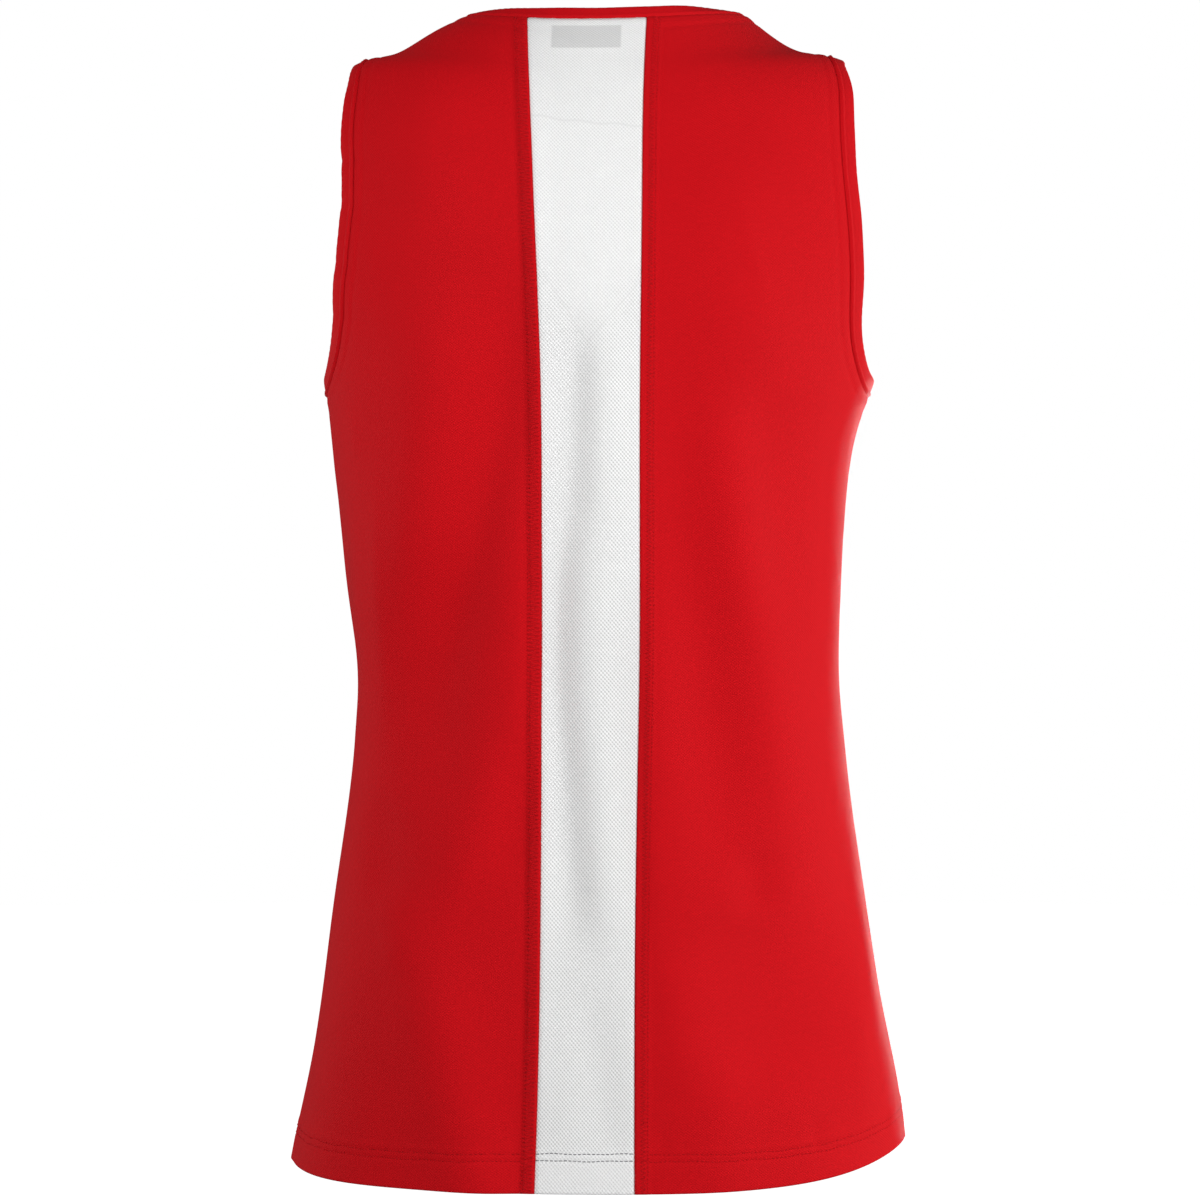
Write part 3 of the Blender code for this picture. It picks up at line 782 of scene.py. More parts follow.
def seam_relief(points, seams):
    """Height of the cloth over its plain form near its seams.

    Each seam takes a roll, -depth exp(-(d / width)^2), and a low step where the layers under it
    end, with a shallow dip just outside the step.
    """
    total = np.zeros(points.shape[:-1])
    for line, kind in seams:
        seam = dict(zip(SEAM_COLUMNS, SEAMS[kind]))
        away = distance_to(points, SEAM_LINES[line])
        past = away - seam["layers_to"]
        step = 1.0 - smooth(-LAYER_EDGE, LAYER_EDGE, past)
        dip = LAYER_DIP * (seam["lift"] > 0.0) * bell(past - LAYER_EDGE, LAYER_EDGE)
        total = total - seam["roll_depth"] * bell(away, seam["roll_width"])
        total = total + (seam["lift"] * step - dip)
    return total


def hem_rounding(sizes, above_hem):
    """How far the hem's edge turns in: a quarter circle of half the hem's thickness."""
    half = sizes.hem_wall / MM / 2.0
    from_edge = np.clip(1.0 - above_hem / half, 0.0, 1.0)
    return half * (1.0 - np.sqrt(1.0 - from_edge ** 2 * HEM_ROUNDNESS))


def hem_row_rises(sizes, turn):
    """Rises of the two rows of hem stitches: highest at the centre back, and sewn lower round it.

    Away from the centre back they drop by 1 - exp((sin(turn) - 1) / spread) of the full drop.
    """
    drop = HEM_ROW_DROP * (1.0 - np.exp((np.sin(turn) - 1.0) / HEM_ROW_SPREAD))
    upper = sizes.hem_turn_up / MM - HEM_ROW_BELOW_TOP - drop
    return upper - sizes.hem_row_gap / MM, upper


def hem_relief(sizes, turn, above_hem):
    """Height of the cloth over its plain form at the turned-up hem.

    The edge turns in like a quarter circle, the double cloth stands a little proud, and each of
    the two rows of stitches draws it in.
    """
    past_fold = above_hem - sizes.hem_turn_up / MM
    relief = HEM_PROUD * (1.0 - smooth(*HEM_FOLD_EDGE, past_fold)) - hem_rounding(sizes, above_hem)
    for row in hem_row_rises(sizes, turn):
        relief = relief - HEM_SEWN * bell(above_hem - row, HEM_SEWN_WIDTH)
    puckers = np.sin(2.0 * math.pi * girth(turn, above_hem) / PUCKER_PITCH)
    return relief + PUCKER_HEIGHT * puckers * bell(past_fold, PUCKER_REACH)


def finished_surface(sizes, turn, rise, seams):
    """Points and normals of the finished outer face, from places before the hem is lifted."""
    true_rise = lifted(turn, rise)
    points = surface(turn, true_rise)
    normals = outward(surface, turn, true_rise)
    relief = seam_relief(points, seams) + hem_relief(sizes, turn, rise)
    return points + relief[..., None] * normals, normals


# Meshes


def make_object(name, points, faces, places=None):
    """A smooth-shaded object from points in millimetres and four-cornered faces.

    places are cloth coordinates in millimetres, one pair for each point, kept in the UV map.
    """
    mesh = bpy.data.meshes.new(name)
    faces = np.ascontiguousarray(faces, dtype=np.int32)
    mesh.vertices.add(len(points))
    mesh.vertices.foreach_set("co", (np.asarray(points) * MM).astype(np.float32).ravel())
    mesh.loops.add(faces.size)
    mesh.loops.foreach_set("vertex_index", faces.ravel())
    mesh.polygons.add(len(faces))
    mesh.polygons.foreach_set("loop_start", np.arange(0, faces.size, 4, dtype=np.int32))
    mesh.update(calc_edges=True)
    mesh.validate()
    mesh.shade_smooth()
    if places is not None:
        layer = mesh.uv_layers.new(name="Cloth")
        layer.data.foreach_set("uv", (places[faces.ravel()] * MM).astype(np.float32).ravel())
    made = bpy.data.objects.new(name, mesh)
    bpy.context.scene.collection.objects.link(made)
    return made


def sheet_places(grids):
    """One piece of cloth from grids that meet edge to edge.

    Gives its places as turns and rises, and its four-cornered faces, whose corners run
    anticlockwise seen from outside.
    """
    places, faces = [], []
    first = 0
    for turn, rise in grids:
        if turn[0, -1] < turn[0, 0]:
            turn, rise = turn[:, ::-1], rise[:, ::-1]
        number = first + np.arange(turn.size).reshape(turn.shape)
        corners = (number[:-1, :-1], number[:-1, 1:], number[1:, 1:], number[1:, :-1])
        faces.append(np.stack(corners, axis=-1).reshape(-1, 4))
        places.append(np.stack((turn, rise), axis=-1).reshape(-1, 2))
        first += turn.size
    places = np.concatenate(places)
    _, kept, number = np.unique(
        np.round(places, 6), axis=0, return_index=True, return_inverse=True
    )
    return places[kept], number.ravel()[np.concatenate(faces)]


def ring_faces(first, second):
    """Faces between closed rings of point numbers and the rings next to them."""
    corners = (first, second, np.roll(second, -1, axis=1), np.roll(first, -1, axis=1))
    return np.stack(corners, axis=-1).reshape(-1, 4)


def rim_edges(faces):
    """Edges with cloth on one side only, each in its own face's direction."""
    edges = faces[:, (0, 1, 1, 2, 2, 3, 3, 0)].reshape(-1, 2)
    count = faces.max() + 1
    keys = edges[:, 0] * count + edges[:, 1]
    back_keys = edges[:, 1] * count + edges[:, 0]
    return edges[~np.isin(back_keys, keys)]


def drawn_in(points, normals, rim, distance):
    """Points with the cloth's edge moved into the cloth by a distance, square to the edge.

    The two inward directions at a corner are added, and half the square of their sum's length
    is what keeps the distance to both edges.
    """
    start, end = rim.T
    forward = unit(points[end] - points[start])
    inward = np.zeros_like(points)
    for corner in (start, end):
        np.add.at(inward, corner, np.cross(normals[corner], forward))
    square = np.sum(inward ** 2, axis=1, keepdims=True) / 2.0
    return points + distance * inward / np.where(square > 0.0, square, 1.0)


def make_shell(name, outer, inner, faces, places):
    """A closed thin shell: its outer face, its inner face and a strip round its rim."""
    start, end = rim_edges(faces).T
    count = len(outer)
    strip = np.stack((end, start, start + count, end + count), axis=-1)
    walls = np.concatenate((faces, faces[:, ::-1] + count, strip))
    return make_object(name, np.concatenate((outer, inner)), walls, np.tile(places, (2, 1)))


def make_panel(sizes, name, grids, seams):
    """A panel: a thin shell of knit, twice as thick where it is turned up inside the hem.

    Gives the panel and the area of its outer face.
    """
    places, faces = sheet_places(grids)
    turn, rise = places.T
    points, normals = finished_surface(sizes, turn, rise, seams)
    outer = drawn_in(points, normals, rim_edges(faces), SEAM_GAP / 2.0)
    past_fold = rise - sizes.hem_turn_up / MM
    layers = 1.0 - smooth(-HEM_LAYER_EDGE, HEM_LAYER_EDGE, past_fold)
    thickness = (sizes.wall + (sizes.hem_wall - sizes.wall) * layers) / MM
    thickness = thickness - 2.0 * hem_rounding(sizes, rise)
    cloth = np.stack((girth(turn, lifted(turn, rise)), rise), axis=-1)
    made = make_shell(name, outer, outer - thickness[:, None] * normals, faces, cloth)
    return made, cloth_area(outer, faces)


def cloth_area(points, faces):
    """Area of a sheet's outer face, in square metres: half of each face's crossed diagonals."""
    first = points[faces[:, 2]] - points[faces[:, 0]]
    second = points[faces[:, 3]] - points[faces[:, 1]]
    return float(np.linalg.norm(np.cross(first, second), axis=1).sum()) / 2.0 * MM ** 2


def band_profile(width, thickness, layer, ridge):
    """Cross section of a folded binding, as reaches from the seam and lifts off its middle.

    The cloth runs out from the seam, round the fold (an ellipse) and back behind, then returns
    along its own inner face. Near the seam its outer face dips, rises to the ridge of the
    turnings and falls into a shallow groove, each a bell of the table.
    """
    half = thickness / 2.0
    fold = BAND_FOLD_REACH * half
    start = width - fold
    fine = np.linspace(0.0, BAND_RELIEF_END, 10)[:-1]
    legs = np.concatenate((fine, np.linspace(BAND_RELIEF_END, start, 4)))
    face = np.full_like(legs, half)
    for row in rows(BELL_COLUMNS, BAND_BELLS):
        height = row["height"] + row["ridge_share"] * ridge
        face = face + height * bell(legs - row["centre"], row["width"])
    bend = np.linspace(0.0, math.pi, 9)[1:-1]
    inner_legs = np.linspace(0.0, start, 4)
    inner_bend = np.linspace(math.pi, 0.0, 5)[1:-1]
    inner_face = np.full_like(inner_legs, half - layer)
    reach = np.concatenate((
        legs, start + fold * np.sin(bend), legs[::-1],
        inner_legs, start + (fold - layer) * np.sin(inner_bend), inner_legs[::-1],
    ))
    lift = np.concatenate((
        face, half * np.cos(bend), np.full_like(legs, -half),
        -inner_face, (half - layer) * np.cos(inner_bend), inner_face,
    ))
    lift[-1] = lift[-1] - BAND_EDGE_TUCK
    return reach, lift


def droop(line, degrees):
    """Turn of an armhole binding, an S curve of height from none up to its full angle on top."""
    height = surface(*line)[:, 2]
    return math.radians(degrees) * smooth(height.max() - DROOP_REACH, height.max(), height)


def lean(line):
    """Turn of the neck binding, an S curve of the distance out from the middle on each side."""
    x = surface(*line)[:, 0]
    full = np.radians(np.where(x > 0.0, LEAN_LEFT, LEAN_RIGHT))
    return full * smooth(*LEAN_REACHES, np.abs(x))


def make_band(sizes, name, line, width, inside, ridge, turned):
    """A folded binding along a closed line: its cross section carried along the cloth's edge.

    turned is how far, in radians, it turns in from the run of the cloth at each place. Its
    width wavers, and pulls raise and lower its outer face. Gives the binding and its length in
    metres.
    """
    path = surface(*line)
    normal = outward(surface, *line)
    forward = unit(np.roll(path, -1, axis=0) - np.roll(path, 1, axis=0))
    away = unit(np.cross(forward, normal))
    if np.sum((np.array(inside) - path) * away) < 0.0:
        away = -away
    cos, sin = np.cos(turned)[:, None], np.sin(turned)[:, None]
    away, normal = cos * away - sin * normal, cos * normal + sin * away
    across, lift = band_profile(width, sizes.band_thickness / MM, sizes.band_layer / MM, ridge)
    along = np.cumsum(np.linalg.norm(path - np.roll(path, 1, axis=0), axis=1))
    waver = WAVER_SHARE * np.sin(along / WAVER_SHORT) * np.sin(along / WAVER_LONG + 1.0)
    pulls = PULL_SHARE * np.sin(2.0 * math.pi * along / PULL_PITCH + np.sin(along / PULL_DRIFT))
    reach = SEAM_GAP / 2.0 + across[None, :] * (1.0 + waver)[:, None]
    rises = lift[None, :] * np.where(lift[None, :] > 0.0, (1.0 + pulls)[:, None], 1.0)
    points = (
        path[:, None, :] + reach[:, :, None] * away[:, None, :]
        + (rises - sizes.wall / MM / 2.0)[:, :, None] * normal[:, None, :]
    )
    number = np.arange(points.size // 3).reshape(points.shape[:2])
    faces = ring_faces(number, np.roll(number, -1, axis=0))
    start, beside = points[0, BAND_FACE_PLACE], points[0, BAND_FACE_PLACE + 1]
    facing = np.cross(points[1, BAND_FACE_PLACE] - start, beside - start)
    if np.dot(facing, normal[0]) < 0.0:
        faces = faces[:, ::-1]
    side_run = np.cumsum(np.hypot(np.diff(across, prepend=0.0), np.diff(lift, prepend=lift[0])))
    places = np.stack(np.broadcast_arrays(along[:, None], side_run[None, :]), axis=-1)
    made = make_object(name, points.reshape(-1, 3), faces, places.reshape(-1, 2))
    return made, float(along[-1]) * MM


def along_line(points, normals, wanted):
    """Points and normals at distances along a line."""
    run = distances(points)
    places, facing = (
        np.stack([np.interp(wanted, run, part) for part in values.T], axis=-1)
        for values in (points, normals)
    )
    return places, unit(facing)


def ring(sideways, up, sides):
    """Directions round a thread at each of its rings, on a new axis before the last."""
    angle = np.arange(sides)[:, None] * 2.0 * math.pi / sides
    return np.cos(angle) * sideways[..., None, :] + np.sin(angle) * up[..., None, :]


def stitch_points(points, normals, pitch, length, radius, sink):
    """Stitches along a line: short threads, each an arch whose two ends dive into the cloth.

    t runs from -1 to 1 along a stitch. Its centre is lifted by a share of the radius, less
    sink t^4, and its own radius is r (1 - taper t^4).
    """
    count = int(distances(points)[-1] / pitch)
    t = np.linspace(-1.0, 1.0, STITCH_RINGS)
    middles = (np.arange(count) + 0.5) * pitch
    wanted = middles[:, None] + t[None, :] * length / 2.0
    centre, facing = along_line(points, normals, wanted)
    ahead, _ = along_line(points, normals, wanted + STITCH_STEP)
    sideways = unit(np.cross(facing, unit(ahead - centre + 1e-9)))
    middle = centre + (radius * STITCH_RISE - sink * t ** 4)[:, None] * facing
    own = (radius * (1.0 - STITCH_TAPER * t ** 4))[:, None, None]
    return middle[:, :, None, :] + own * ring(sideways, facing, STITCH_SIDES)


def stitch_faces(count):
    """Faces of the stitches: rings joined to the next, and two faces over each end."""
    number = np.arange(STITCH_RINGS * STITCH_SIDES).reshape(STITCH_RINGS, STITCH_SIDES)
    ends = [number[0][[1, 2, 3, 0]], number[0][[3, 4, 5, 0]]]
    ends += [number[-1][[3, 2, 1, 0]], number[-1][[5, 4, 3, 0]]]
    one = np.concatenate((np.roll(ring_faces(number[:-1], number[1:]), -1, axis=1), ends))
    return (one[None] + (np.arange(count) * number.size)[:, None, None]).reshape(-1, 4)


def make_stitches(sizes, name, lines, kind):
    """One object of stitches along several lines, each given as its points and normals."""
    stitch = dict(zip(STITCH_COLUMNS, STITCHES[kind]))
    pitch, length = (stitch[part] * sizes.stitch_pitch / MM for part in ("pitch", "length"))
    radius, sink = (stitch[part] * sizes.thread_radius / MM for part in ("radius", "sink"))
    made = [stitch_points(*line, pitch, length, radius, sink) for line in lines]
    points = np.concatenate([part.reshape(-1, 3) for part in made])
    return make_object(name, points, stitch_faces(sum(len(part) for part in made)))


def make_thread(name, centre, facing, radius):
    """A four-sided thread along a line of centres, with one face over each end."""
    forward = unit(np.gradient(centre, axis=0))
    sideways = unit(np.cross(facing, forward))
    points = centre[:, None, :] + radius * ring(sideways, np.cross(forward, sideways), RUNG_SIDES)
    number = np.arange(len(centre) * RUNG_SIDES).reshape(-1, RUNG_SIDES)
    ends = np.stack((number[0], number[-1, ::-1]))
    faces = np.concatenate((ring_faces(number[:-1], number[1:]), ends))
    return make_object(name, points.reshape(-1, 3), faces)


# Materials


def add_node(tree, kind, inputs=(), **settings):
    """A node with its settings, and its inputs given as values, signals or sockets."""
    made = tree.nodes.new(kind)
    for name, value in settings.items():
        setattr(made, name, value)
    for key, value in dict(inputs).items():
        value = value.socket if isinstance(value, Signal) else value
        if isinstance(value, bpy.types.NodeSocket):
            tree.links.new(value, made.inputs[key])
        else:
            made.inputs[key].default_value = value
    return made


def signal(tree, kind, inputs=(), output=0, **settings):
    """One output of a new node."""
    return Signal(tree, add_node(tree, kind, inputs, **settings).outputs[output])


class Signal:
    """One output in a node tree. Arithmetic on it adds math nodes."""

    def __init__(self, tree, socket):
        self.tree = tree
        self.socket = socket

    def math(self, operation, *others, clamp=False):
        values = dict(enumerate((self, *others)))
        return signal(
            self.tree, "ShaderNodeMath", values, operation=operation, use_clamp=clamp
        )

    def __add__(self, other):
        return self.math("ADD", other)

    def __sub__(self, other):
        return self.math("SUBTRACT", other)

    def __mul__(self, other):
        return self.math("MULTIPLY", other)

    def __truediv__(self, other):
        return self.math("DIVIDE", other)

    def ramp(self, low, high):
        """0 at low, 1 at high and an S curve between."""
        return signal(
            self.tree, "ShaderNodeMapRange",
            {"Value": self, "From Min": low, "From Max": high}, "Result",
            interpolation_type="SMOOTHSTEP",
        )

    def split(self):
        """The X and Y of a vector."""
        parts = add_node(self.tree, "ShaderNodeSeparateXYZ", {0: self})
        return Signal(self.tree, parts.outputs["X"]), Signal(self.tree, parts.outputs["Y"])

    def feed(self, node, key):
        """Links this to a node's input."""
        self.tree.links.new(self.socket, node.inputs[key])


def mix_colours(tree, share, first, second, kind="MIX"):
    """Output of a colour mix."""
    values = {0: share, 6: first, 7: second}
    return signal(tree, "ShaderNodeMix", values, 2, data_type="RGBA", blend_type=kind)


def noise(tree, vector, scale, detail, output="Fac"):
    """Output of a noise texture."""
    values = {"Vector": vector, "Scale": scale, "Detail": detail}
    return signal(tree, "ShaderNodeTexNoise", values, output)


def new_group(name, numbers, outputs):
    """An empty node group that takes a vector and named numbers, and puts out numbers.

    Gives the group, its inputs as signals by name, and its output node.
    """
    group = bpy.data.node_groups.new(name, "ShaderNodeTree")
    add = group.interface.new_socket
    add("Vector", in_out="INPUT", socket_type="NodeSocketVector")
    for socket, default in numbers.items():
        add(socket, in_out="INPUT", socket_type="NodeSocketFloat").default_value = default
    for socket in outputs:
        add(socket, in_out="OUTPUT", socket_type="NodeSocketFloat")
    given = group.nodes.new("NodeGroupInput").outputs
    result = group.nodes.new("NodeGroupOutput")
    return group, {socket.name: Signal(group, socket) for socket in given}, result


def knit_cells_group():
    """Group: the staggered pits of a pique or small-hole knit.

    With u across and v along the cloth, the pattern is cos(2 pi u / across) times
    cos(2 pi v / along), whose high places are staggered like the pits. A slow noise bends it a
    little, as a knit is never quite even. Cell is 1 at a pit and 0 between pits. Slant is the
    same for one set of slanting lines through the pits.
    """
    group, given, result = new_group(
        "Knit Cells", {"Across": 0.0018, "Along": 0.0014, "Uneven": 0.00025}, ("Cell", "Slant")
    )
    stray = noise(group, given["Vector"], 160.0, 1.0, "Color")
    for operation, values in (
        ("SUBTRACT", {1: (0.5, 0.5, 0.5)}),
        ("SCALE", {"Scale": given["Uneven"]}),
        ("ADD", {1: given["Vector"]}),
    ):
        stray = signal(group, "ShaderNodeVectorMath", {0: stray, **values}, operation=operation)
    x, y = stray.split()
    u = x / given["Across"] * (2.0 * math.pi)
    v = y / given["Along"] * (2.0 * math.pi)
    (u.math("COSINE") * v.math("COSINE") * 0.5 + 0.5).feed(result, "Cell")
    ((u + v).math("COSINE") * 0.5 + 0.5).feed(result, "Slant")


def cloth_mottle_group():
    """Group: slow and quick unevenness of a dyed knit, from two noises. Value averages 0.5."""
    group, given, result = new_group("Cloth Mottle", {"Slow Scale": 30.0}, ("Value",))
    slow = noise(group, given["Vector"], given["Slow Scale"], 2.0)
    quick = noise(group, given["Vector"], 900.0, 1.0)
    (slow * 0.2 + quick * 0.8).feed(result, "Value")


def start_material(name, sheen, sheen_tint, roughness):
    """A cloth material's tree and shader, with its even values on the shader's own sockets."""
    made = bpy.data.materials.new(name)
    made.use_nodes = True
    shader = made.node_tree.nodes["Principled BSDF"]
    for key, value in (
        ("Roughness", roughness), ("Specular IOR Level", 0.06), ("Sheen Weight", sheen),
        ("Sheen Roughness", 0.45), ("Sheen Tint", (*sheen_tint, 1.0)),
    ):
        shader.inputs[key].default_value = value
    return made.node_tree, shader


def shade(colour, factor):
    """A colour made lighter or darker, with full alpha."""
    return (*[channel * factor for channel in colour], 1.0)


def paint_knit(tree, cloth, cell, slant, mottle, colours):
    """Red pique: staggered pits, lower than the ribs round them and painted darker with painted
    shade.
    """
    pit = cell.ramp(*PIT_RANGE)
    # Pits painted darker: painted shade in the knit's hollows
    base = mix_colours(tree, pit, shade(colours.red, 1.07), shade(colours.red, 0.90))
    return base, pit * -1.0 + mottle * 0.5, ()


def paint_binding(tree, cloth, cell, slant, mottle, colours):
    """Red binding: fine, close cells."""
    base = mix_colours(tree, cell, shade(colours.red, 1.12), shade(colours.red, 0.88))
    return base, cell, ()


def paint_label(tree, cloth, cell, slant, mottle, colours):
    """Blank woven tape: fine crossed threads."""
    base = mix_colours(tree, cell, shade(colours.label, 1.04), shade(colours.label, 0.90))
    return base, cell, ()


def paint_mesh(tree, cloth, cell, slant, mottle, colours):
    """White mesh knit: small holes painted grey, darker with painted shade of the dim inside below
    the V and lighter with painted light above it and at the doubled hem, and the lines and label
    that show through it.
    """
    white = colours.white
    hole = (slant * MESH_SLANT + cell * (1.0 - MESH_SLANT)).ramp(*HOLE_RANGE)
    painted_dim_holes, lines = hole_light_and_lines(cloth)
    # Hole colour: painted shade of the dim inside below the V, painted light through the open neck
    # above it, and the doubled cloth at the hem
    behind = mix_colours(tree, painted_dim_holes, shade(white, LIT_AND_HEM_HOLE_SHADE), shade(white, PAINTED_DIM_HOLE_SHADE))
    base = mix_colours(tree, hole, shade(white, 1.07), behind)
    layers = (
        (lines, shade(white, SEEN_LINE_SHADE), "MIX"),
        (label_shadow(cloth), shade(WHITE, LABEL_SEEN_SHADE), "MULTIPLY"),
    )
    return base, hole * -1.0, layers


def seen_line(away, strength):
    """Thin dark line where a distance is nought: strength exp(-(distance / width)^2)."""
    scaled = away / SEEN_LINE_WIDTH
    return (scaled * scaled * -1.0).math("EXPONENT") * strength


def hole_light_and_lines(cloth):
    """Painted light and shade in the strip's holes, and the lines seen through it, in cloth
    coordinates.

    Gives the mask where the holes take painted shade of the dim inside: below the V and above the
    turned-up hem. Elsewhere they take painted light through the open neck above the V, and the
    doubled cloth at the hem. Also gives the mask of the thin lines seen through the strip: the V's
    edge and a line across below the neck.
    """
    x, y = cloth.split()
    height, across = y / MM, x / -MM
    left = across.math("MAXIMUM", 0.0) * V_STEEPNESS_LEFT
    right = across.math("MINIMUM", 0.0) * V_STEEPNESS_RIGHT
    over = height - (left - right + back_rise(V_POINT_HEIGHT))
    below_v = over.ramp(V_SOFTNESS, -V_SOFTNESS)
    above_hem = height.ramp(HEM_SEEN_TOP - HEM_SEEN_SOFTNESS, HEM_SEEN_TOP + HEM_SEEN_SOFTNESS)
    wave = (across * NECK_LINE_WAVE_RATE).math("SINE") * NECK_LINE_WAVE
    neck_edge = wave + (across * NECK_LINE_SLANT + back_rise(NECK_LINE_HEIGHT))
    neck_line = seen_line(height - neck_edge, NECK_LINE_STRENGTH)
    lines = seen_line(over, V_LINE_STRENGTH).math("ADD", neck_line, clamp=True)
    return below_v * above_hem, lines


def label_shadow(cloth):
    """Mask of the label where it shows through the mesh: a soft-edged box in cloth coordinates."""
    x, y = cloth.split()
    top = section("back_height", TOP) - LABEL_SEEN_BELOW_NECK
    mask = LABEL_SEEN_SHARE
    for axis, edge, direction in (
        (x, -LABEL_CENTRE - LABEL_WIDTH / 2.0, 1.0),
        (x, -LABEL_CENTRE + LABEL_WIDTH / 2.0, -1.0),
        (y, back_rise(top - LABEL_DROP), 1.0),
        (y, back_rise(top), -1.0),
    ):
        soft = direction * LABEL_SOFT_EDGE
        mask = axis.ramp((edge - soft) * MM, (edge + soft) * MM) * mask
    return mask


PAINTERS = {
    "red_pique_knit": paint_knit,
    "red_binding": paint_binding,
    "white_mesh_knit": paint_mesh,
    "label_tape": paint_label,
}


def cloth_material(name, colours):
    """A cloth's material: its painter's colour and height over knit cells, and a mottled tint."""
    finish = dict(zip(FINISH_COLUMNS, FINISHES[name]))
    tree, shader = start_material(
        name, finish["sheen"], finish["sheen_tint"], finish["roughness"]
    )
    if "Knit Cells" not in bpy.data.node_groups:
        knit_cells_group()
        cloth_mottle_group()
    groups = bpy.data.node_groups
    cloth = signal(tree, "ShaderNodeUVMap", (), "UV", uv_map="Cloth")
    cells = add_node(
        tree, "ShaderNodeGroup",
        {"Vector": cloth, **{key.title(): finish[key] for key in ("across", "along", "uneven")}},
        node_tree=groups["Knit Cells"],
    )
    cell, slant = (Signal(tree, cells.outputs[key]) for key in ("Cell", "Slant"))
    mottle = signal(
        tree, "ShaderNodeGroup", {"Vector": cloth, "Slow Scale": finish["slow_scale"]},
        node_tree=groups["Cloth Mottle"],
    )
    colour, height, layers = PAINTERS[name](tree, cloth, cell, slant, mottle, colours)
    tint = mix_colours(
        tree, mottle.ramp(*TONE_RANGE), shade(WHITE, finish["tone_low"]),
        shade(WHITE, finish["tone_high"]),
    )
    colour = mix_colours(tree, 1.0, colour, tint, "MULTIPLY")
    for share, over, kind in layers:
        colour = mix_colours(tree, share, colour, over, kind)
    colour.feed(shader, "Base Color")
    relief = {"Height": height, "Strength": finish["bump"], "Distance": finish["bump_depth"]}
    signal(tree, "ShaderNodeBump", relief, "Normal").feed(shader, "Normal")


def thread_material(name, colour):
    """Sewing thread: plain, with a slight sheen and a quick unevenness from its twist."""
    tree, shader = start_material(name, 0.03, (1.0, 0.6, 0.6), 0.6)
    place = signal(tree, "ShaderNodeTexCoord", (), "Object")
    tone = noise(tree, place, 2200.0, 1.0).ramp(0.3, 0.7)
    mix_colours(tree, tone, shade(colour, 0.85), shade(colour, 1.12)).feed(shader, "Base Color")


def material(name, colours):
    """A cloth's or thread's material, made the first time it is asked for."""
    if name not in bpy.data.materials:
        if name in PAINTERS:
            cloth_material(name, colours)
        else:
            thread_material(name, getattr(colours, name))
    return bpy.data.materials[name]


def floor_material(colours):
    """Pale studio floor, self-lit to the camera so that it runs into the white behind it."""
    made = bpy.data.materials.new("studio_floor")
    made.use_nodes = True
    shader = made.node_tree.nodes["Principled BSDF"]
    for key, value in (
        ("Base Color", (*colours.floor, 1.0)), ("Roughness", 0.9), ("Specular IOR Level", 0.0),
        ("Emission Color", (1.0, 1.0, 1.0, 1.0)),
    ):
        shader.inputs[key].default_value = value
    seen = signal(made.node_tree, "ShaderNodeLightPath", (), "Is Camera Ray")
    seen.feed(shader, "Emission Strength")
    return made


# Settings


class TopSizes(bpy.types.PropertyGroup):
    """Sizes of the cloth, bindings and sewing."""

    wall: FloatProperty(
        name="Cloth", description="Thickness of one layer of knit",
        default=0.0012, unit="LENGTH", precision=4,
    )
    hem_wall: FloatProperty(
        name="Hem", description="Thickness of the doubled cloth at the hem",
        default=0.0022, unit="LENGTH", precision=4,
    )
    hem_turn_up: FloatProperty(
        name="Hem turn-up", description="Height of the cloth turned up inside the hem",
        default=0.0225, unit="LENGTH", precision=4,
    )
    hem_row_gap: FloatProperty(
        name="Hem rows", description="Distance between the two rows of hem stitches",
        default=0.0037, unit="LENGTH", precision=4,
    )
    neck_band_width: FloatProperty(
        name="Neck binding", description="Finished width of the neck binding",
        default=0.0075, unit="LENGTH", precision=4,
    )
    arm_band_width: FloatProperty(
        name="Armhole binding", description="Finished width of the armhole bindings",
        default=0.010, unit="LENGTH", precision=4,
    )
    band_thickness: FloatProperty(
        name="Binding thickness", description="Thickness of a folded binding",
        default=0.0024, unit="LENGTH", precision=4,
    )
    band_layer: FloatProperty(
        name="Binding cloth", description="Thickness of the bindings' own cloth",
        default=0.0008, unit="LENGTH", precision=4,
    )
    stitch_pitch: FloatProperty(
        name="Stitch", description="Length of one seam stitch",
        default=0.00212, unit="LENGTH", precision=5,
    )
    thread_radius: FloatProperty(
        name="Thread radius", description="Half the thickness of the sewing thread",
        default=0.00022, unit="LENGTH", precision=5,
    )


class TopColours(bpy.types.PropertyGroup):
    """Colours of the cloth, thread and floor."""

    red: FloatVectorProperty(
        name="Red", description="Colour of the knit and bindings",
        default=(0.56, 0.0035, 0.0075), subtype="COLOR", min=0.0, max=1.0,
    )
    white: FloatVectorProperty(
        name="White", description="Colour of the mesh strip",
        default=(0.86, 0.86, 0.86), subtype="COLOR", min=0.0, max=1.0,
    )
    # Darker than the knit: the thread's red with painted shade of the hollows between the cover
    # stitch's rungs
    red_thread: FloatVectorProperty(
        name="Red thread", description="Colour of the seam thread",
        default=(0.50, 0.004, 0.008), subtype="COLOR", min=0.0, max=1.0,
    )
    grey_thread: FloatVectorProperty(
        name="Grey thread", description="Colour of the hem thread across the strip",
        default=(0.20, 0.20, 0.21), subtype="COLOR", min=0.0, max=1.0,
    )
    label: FloatVectorProperty(
        name="Label", description="Colour of the blank label",
        default=(0.72, 0.72, 0.72), subtype="COLOR", min=0.0, max=1.0,
    )
    floor: FloatVectorProperty(
        name="Floor", description="Colour of the studio floor",
        default=(0.50, 0.50, 0.50), subtype="COLOR", min=0.0, max=1.0,
    )


# Operators


def dress(context, piece, finish, slot, *nodes):
    """Gives a piece its finish, its body and the nodes it stands for. Its slot argument is not
    used.
    """
    piece.data.materials.append(material(finish, context.scene.top_colours))
    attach(piece, BODY)
    if nodes:
        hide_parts(*nodes)


def outer_seams(name):
    """Seams that a back and a front panel share on one side, with their kinds."""
    kinds = {"armhole": "band", "shoulder": "shoulder", "side": "side"}
    return [(f"{seam}_{name}", kind) for seam, kind in kinds.items()]


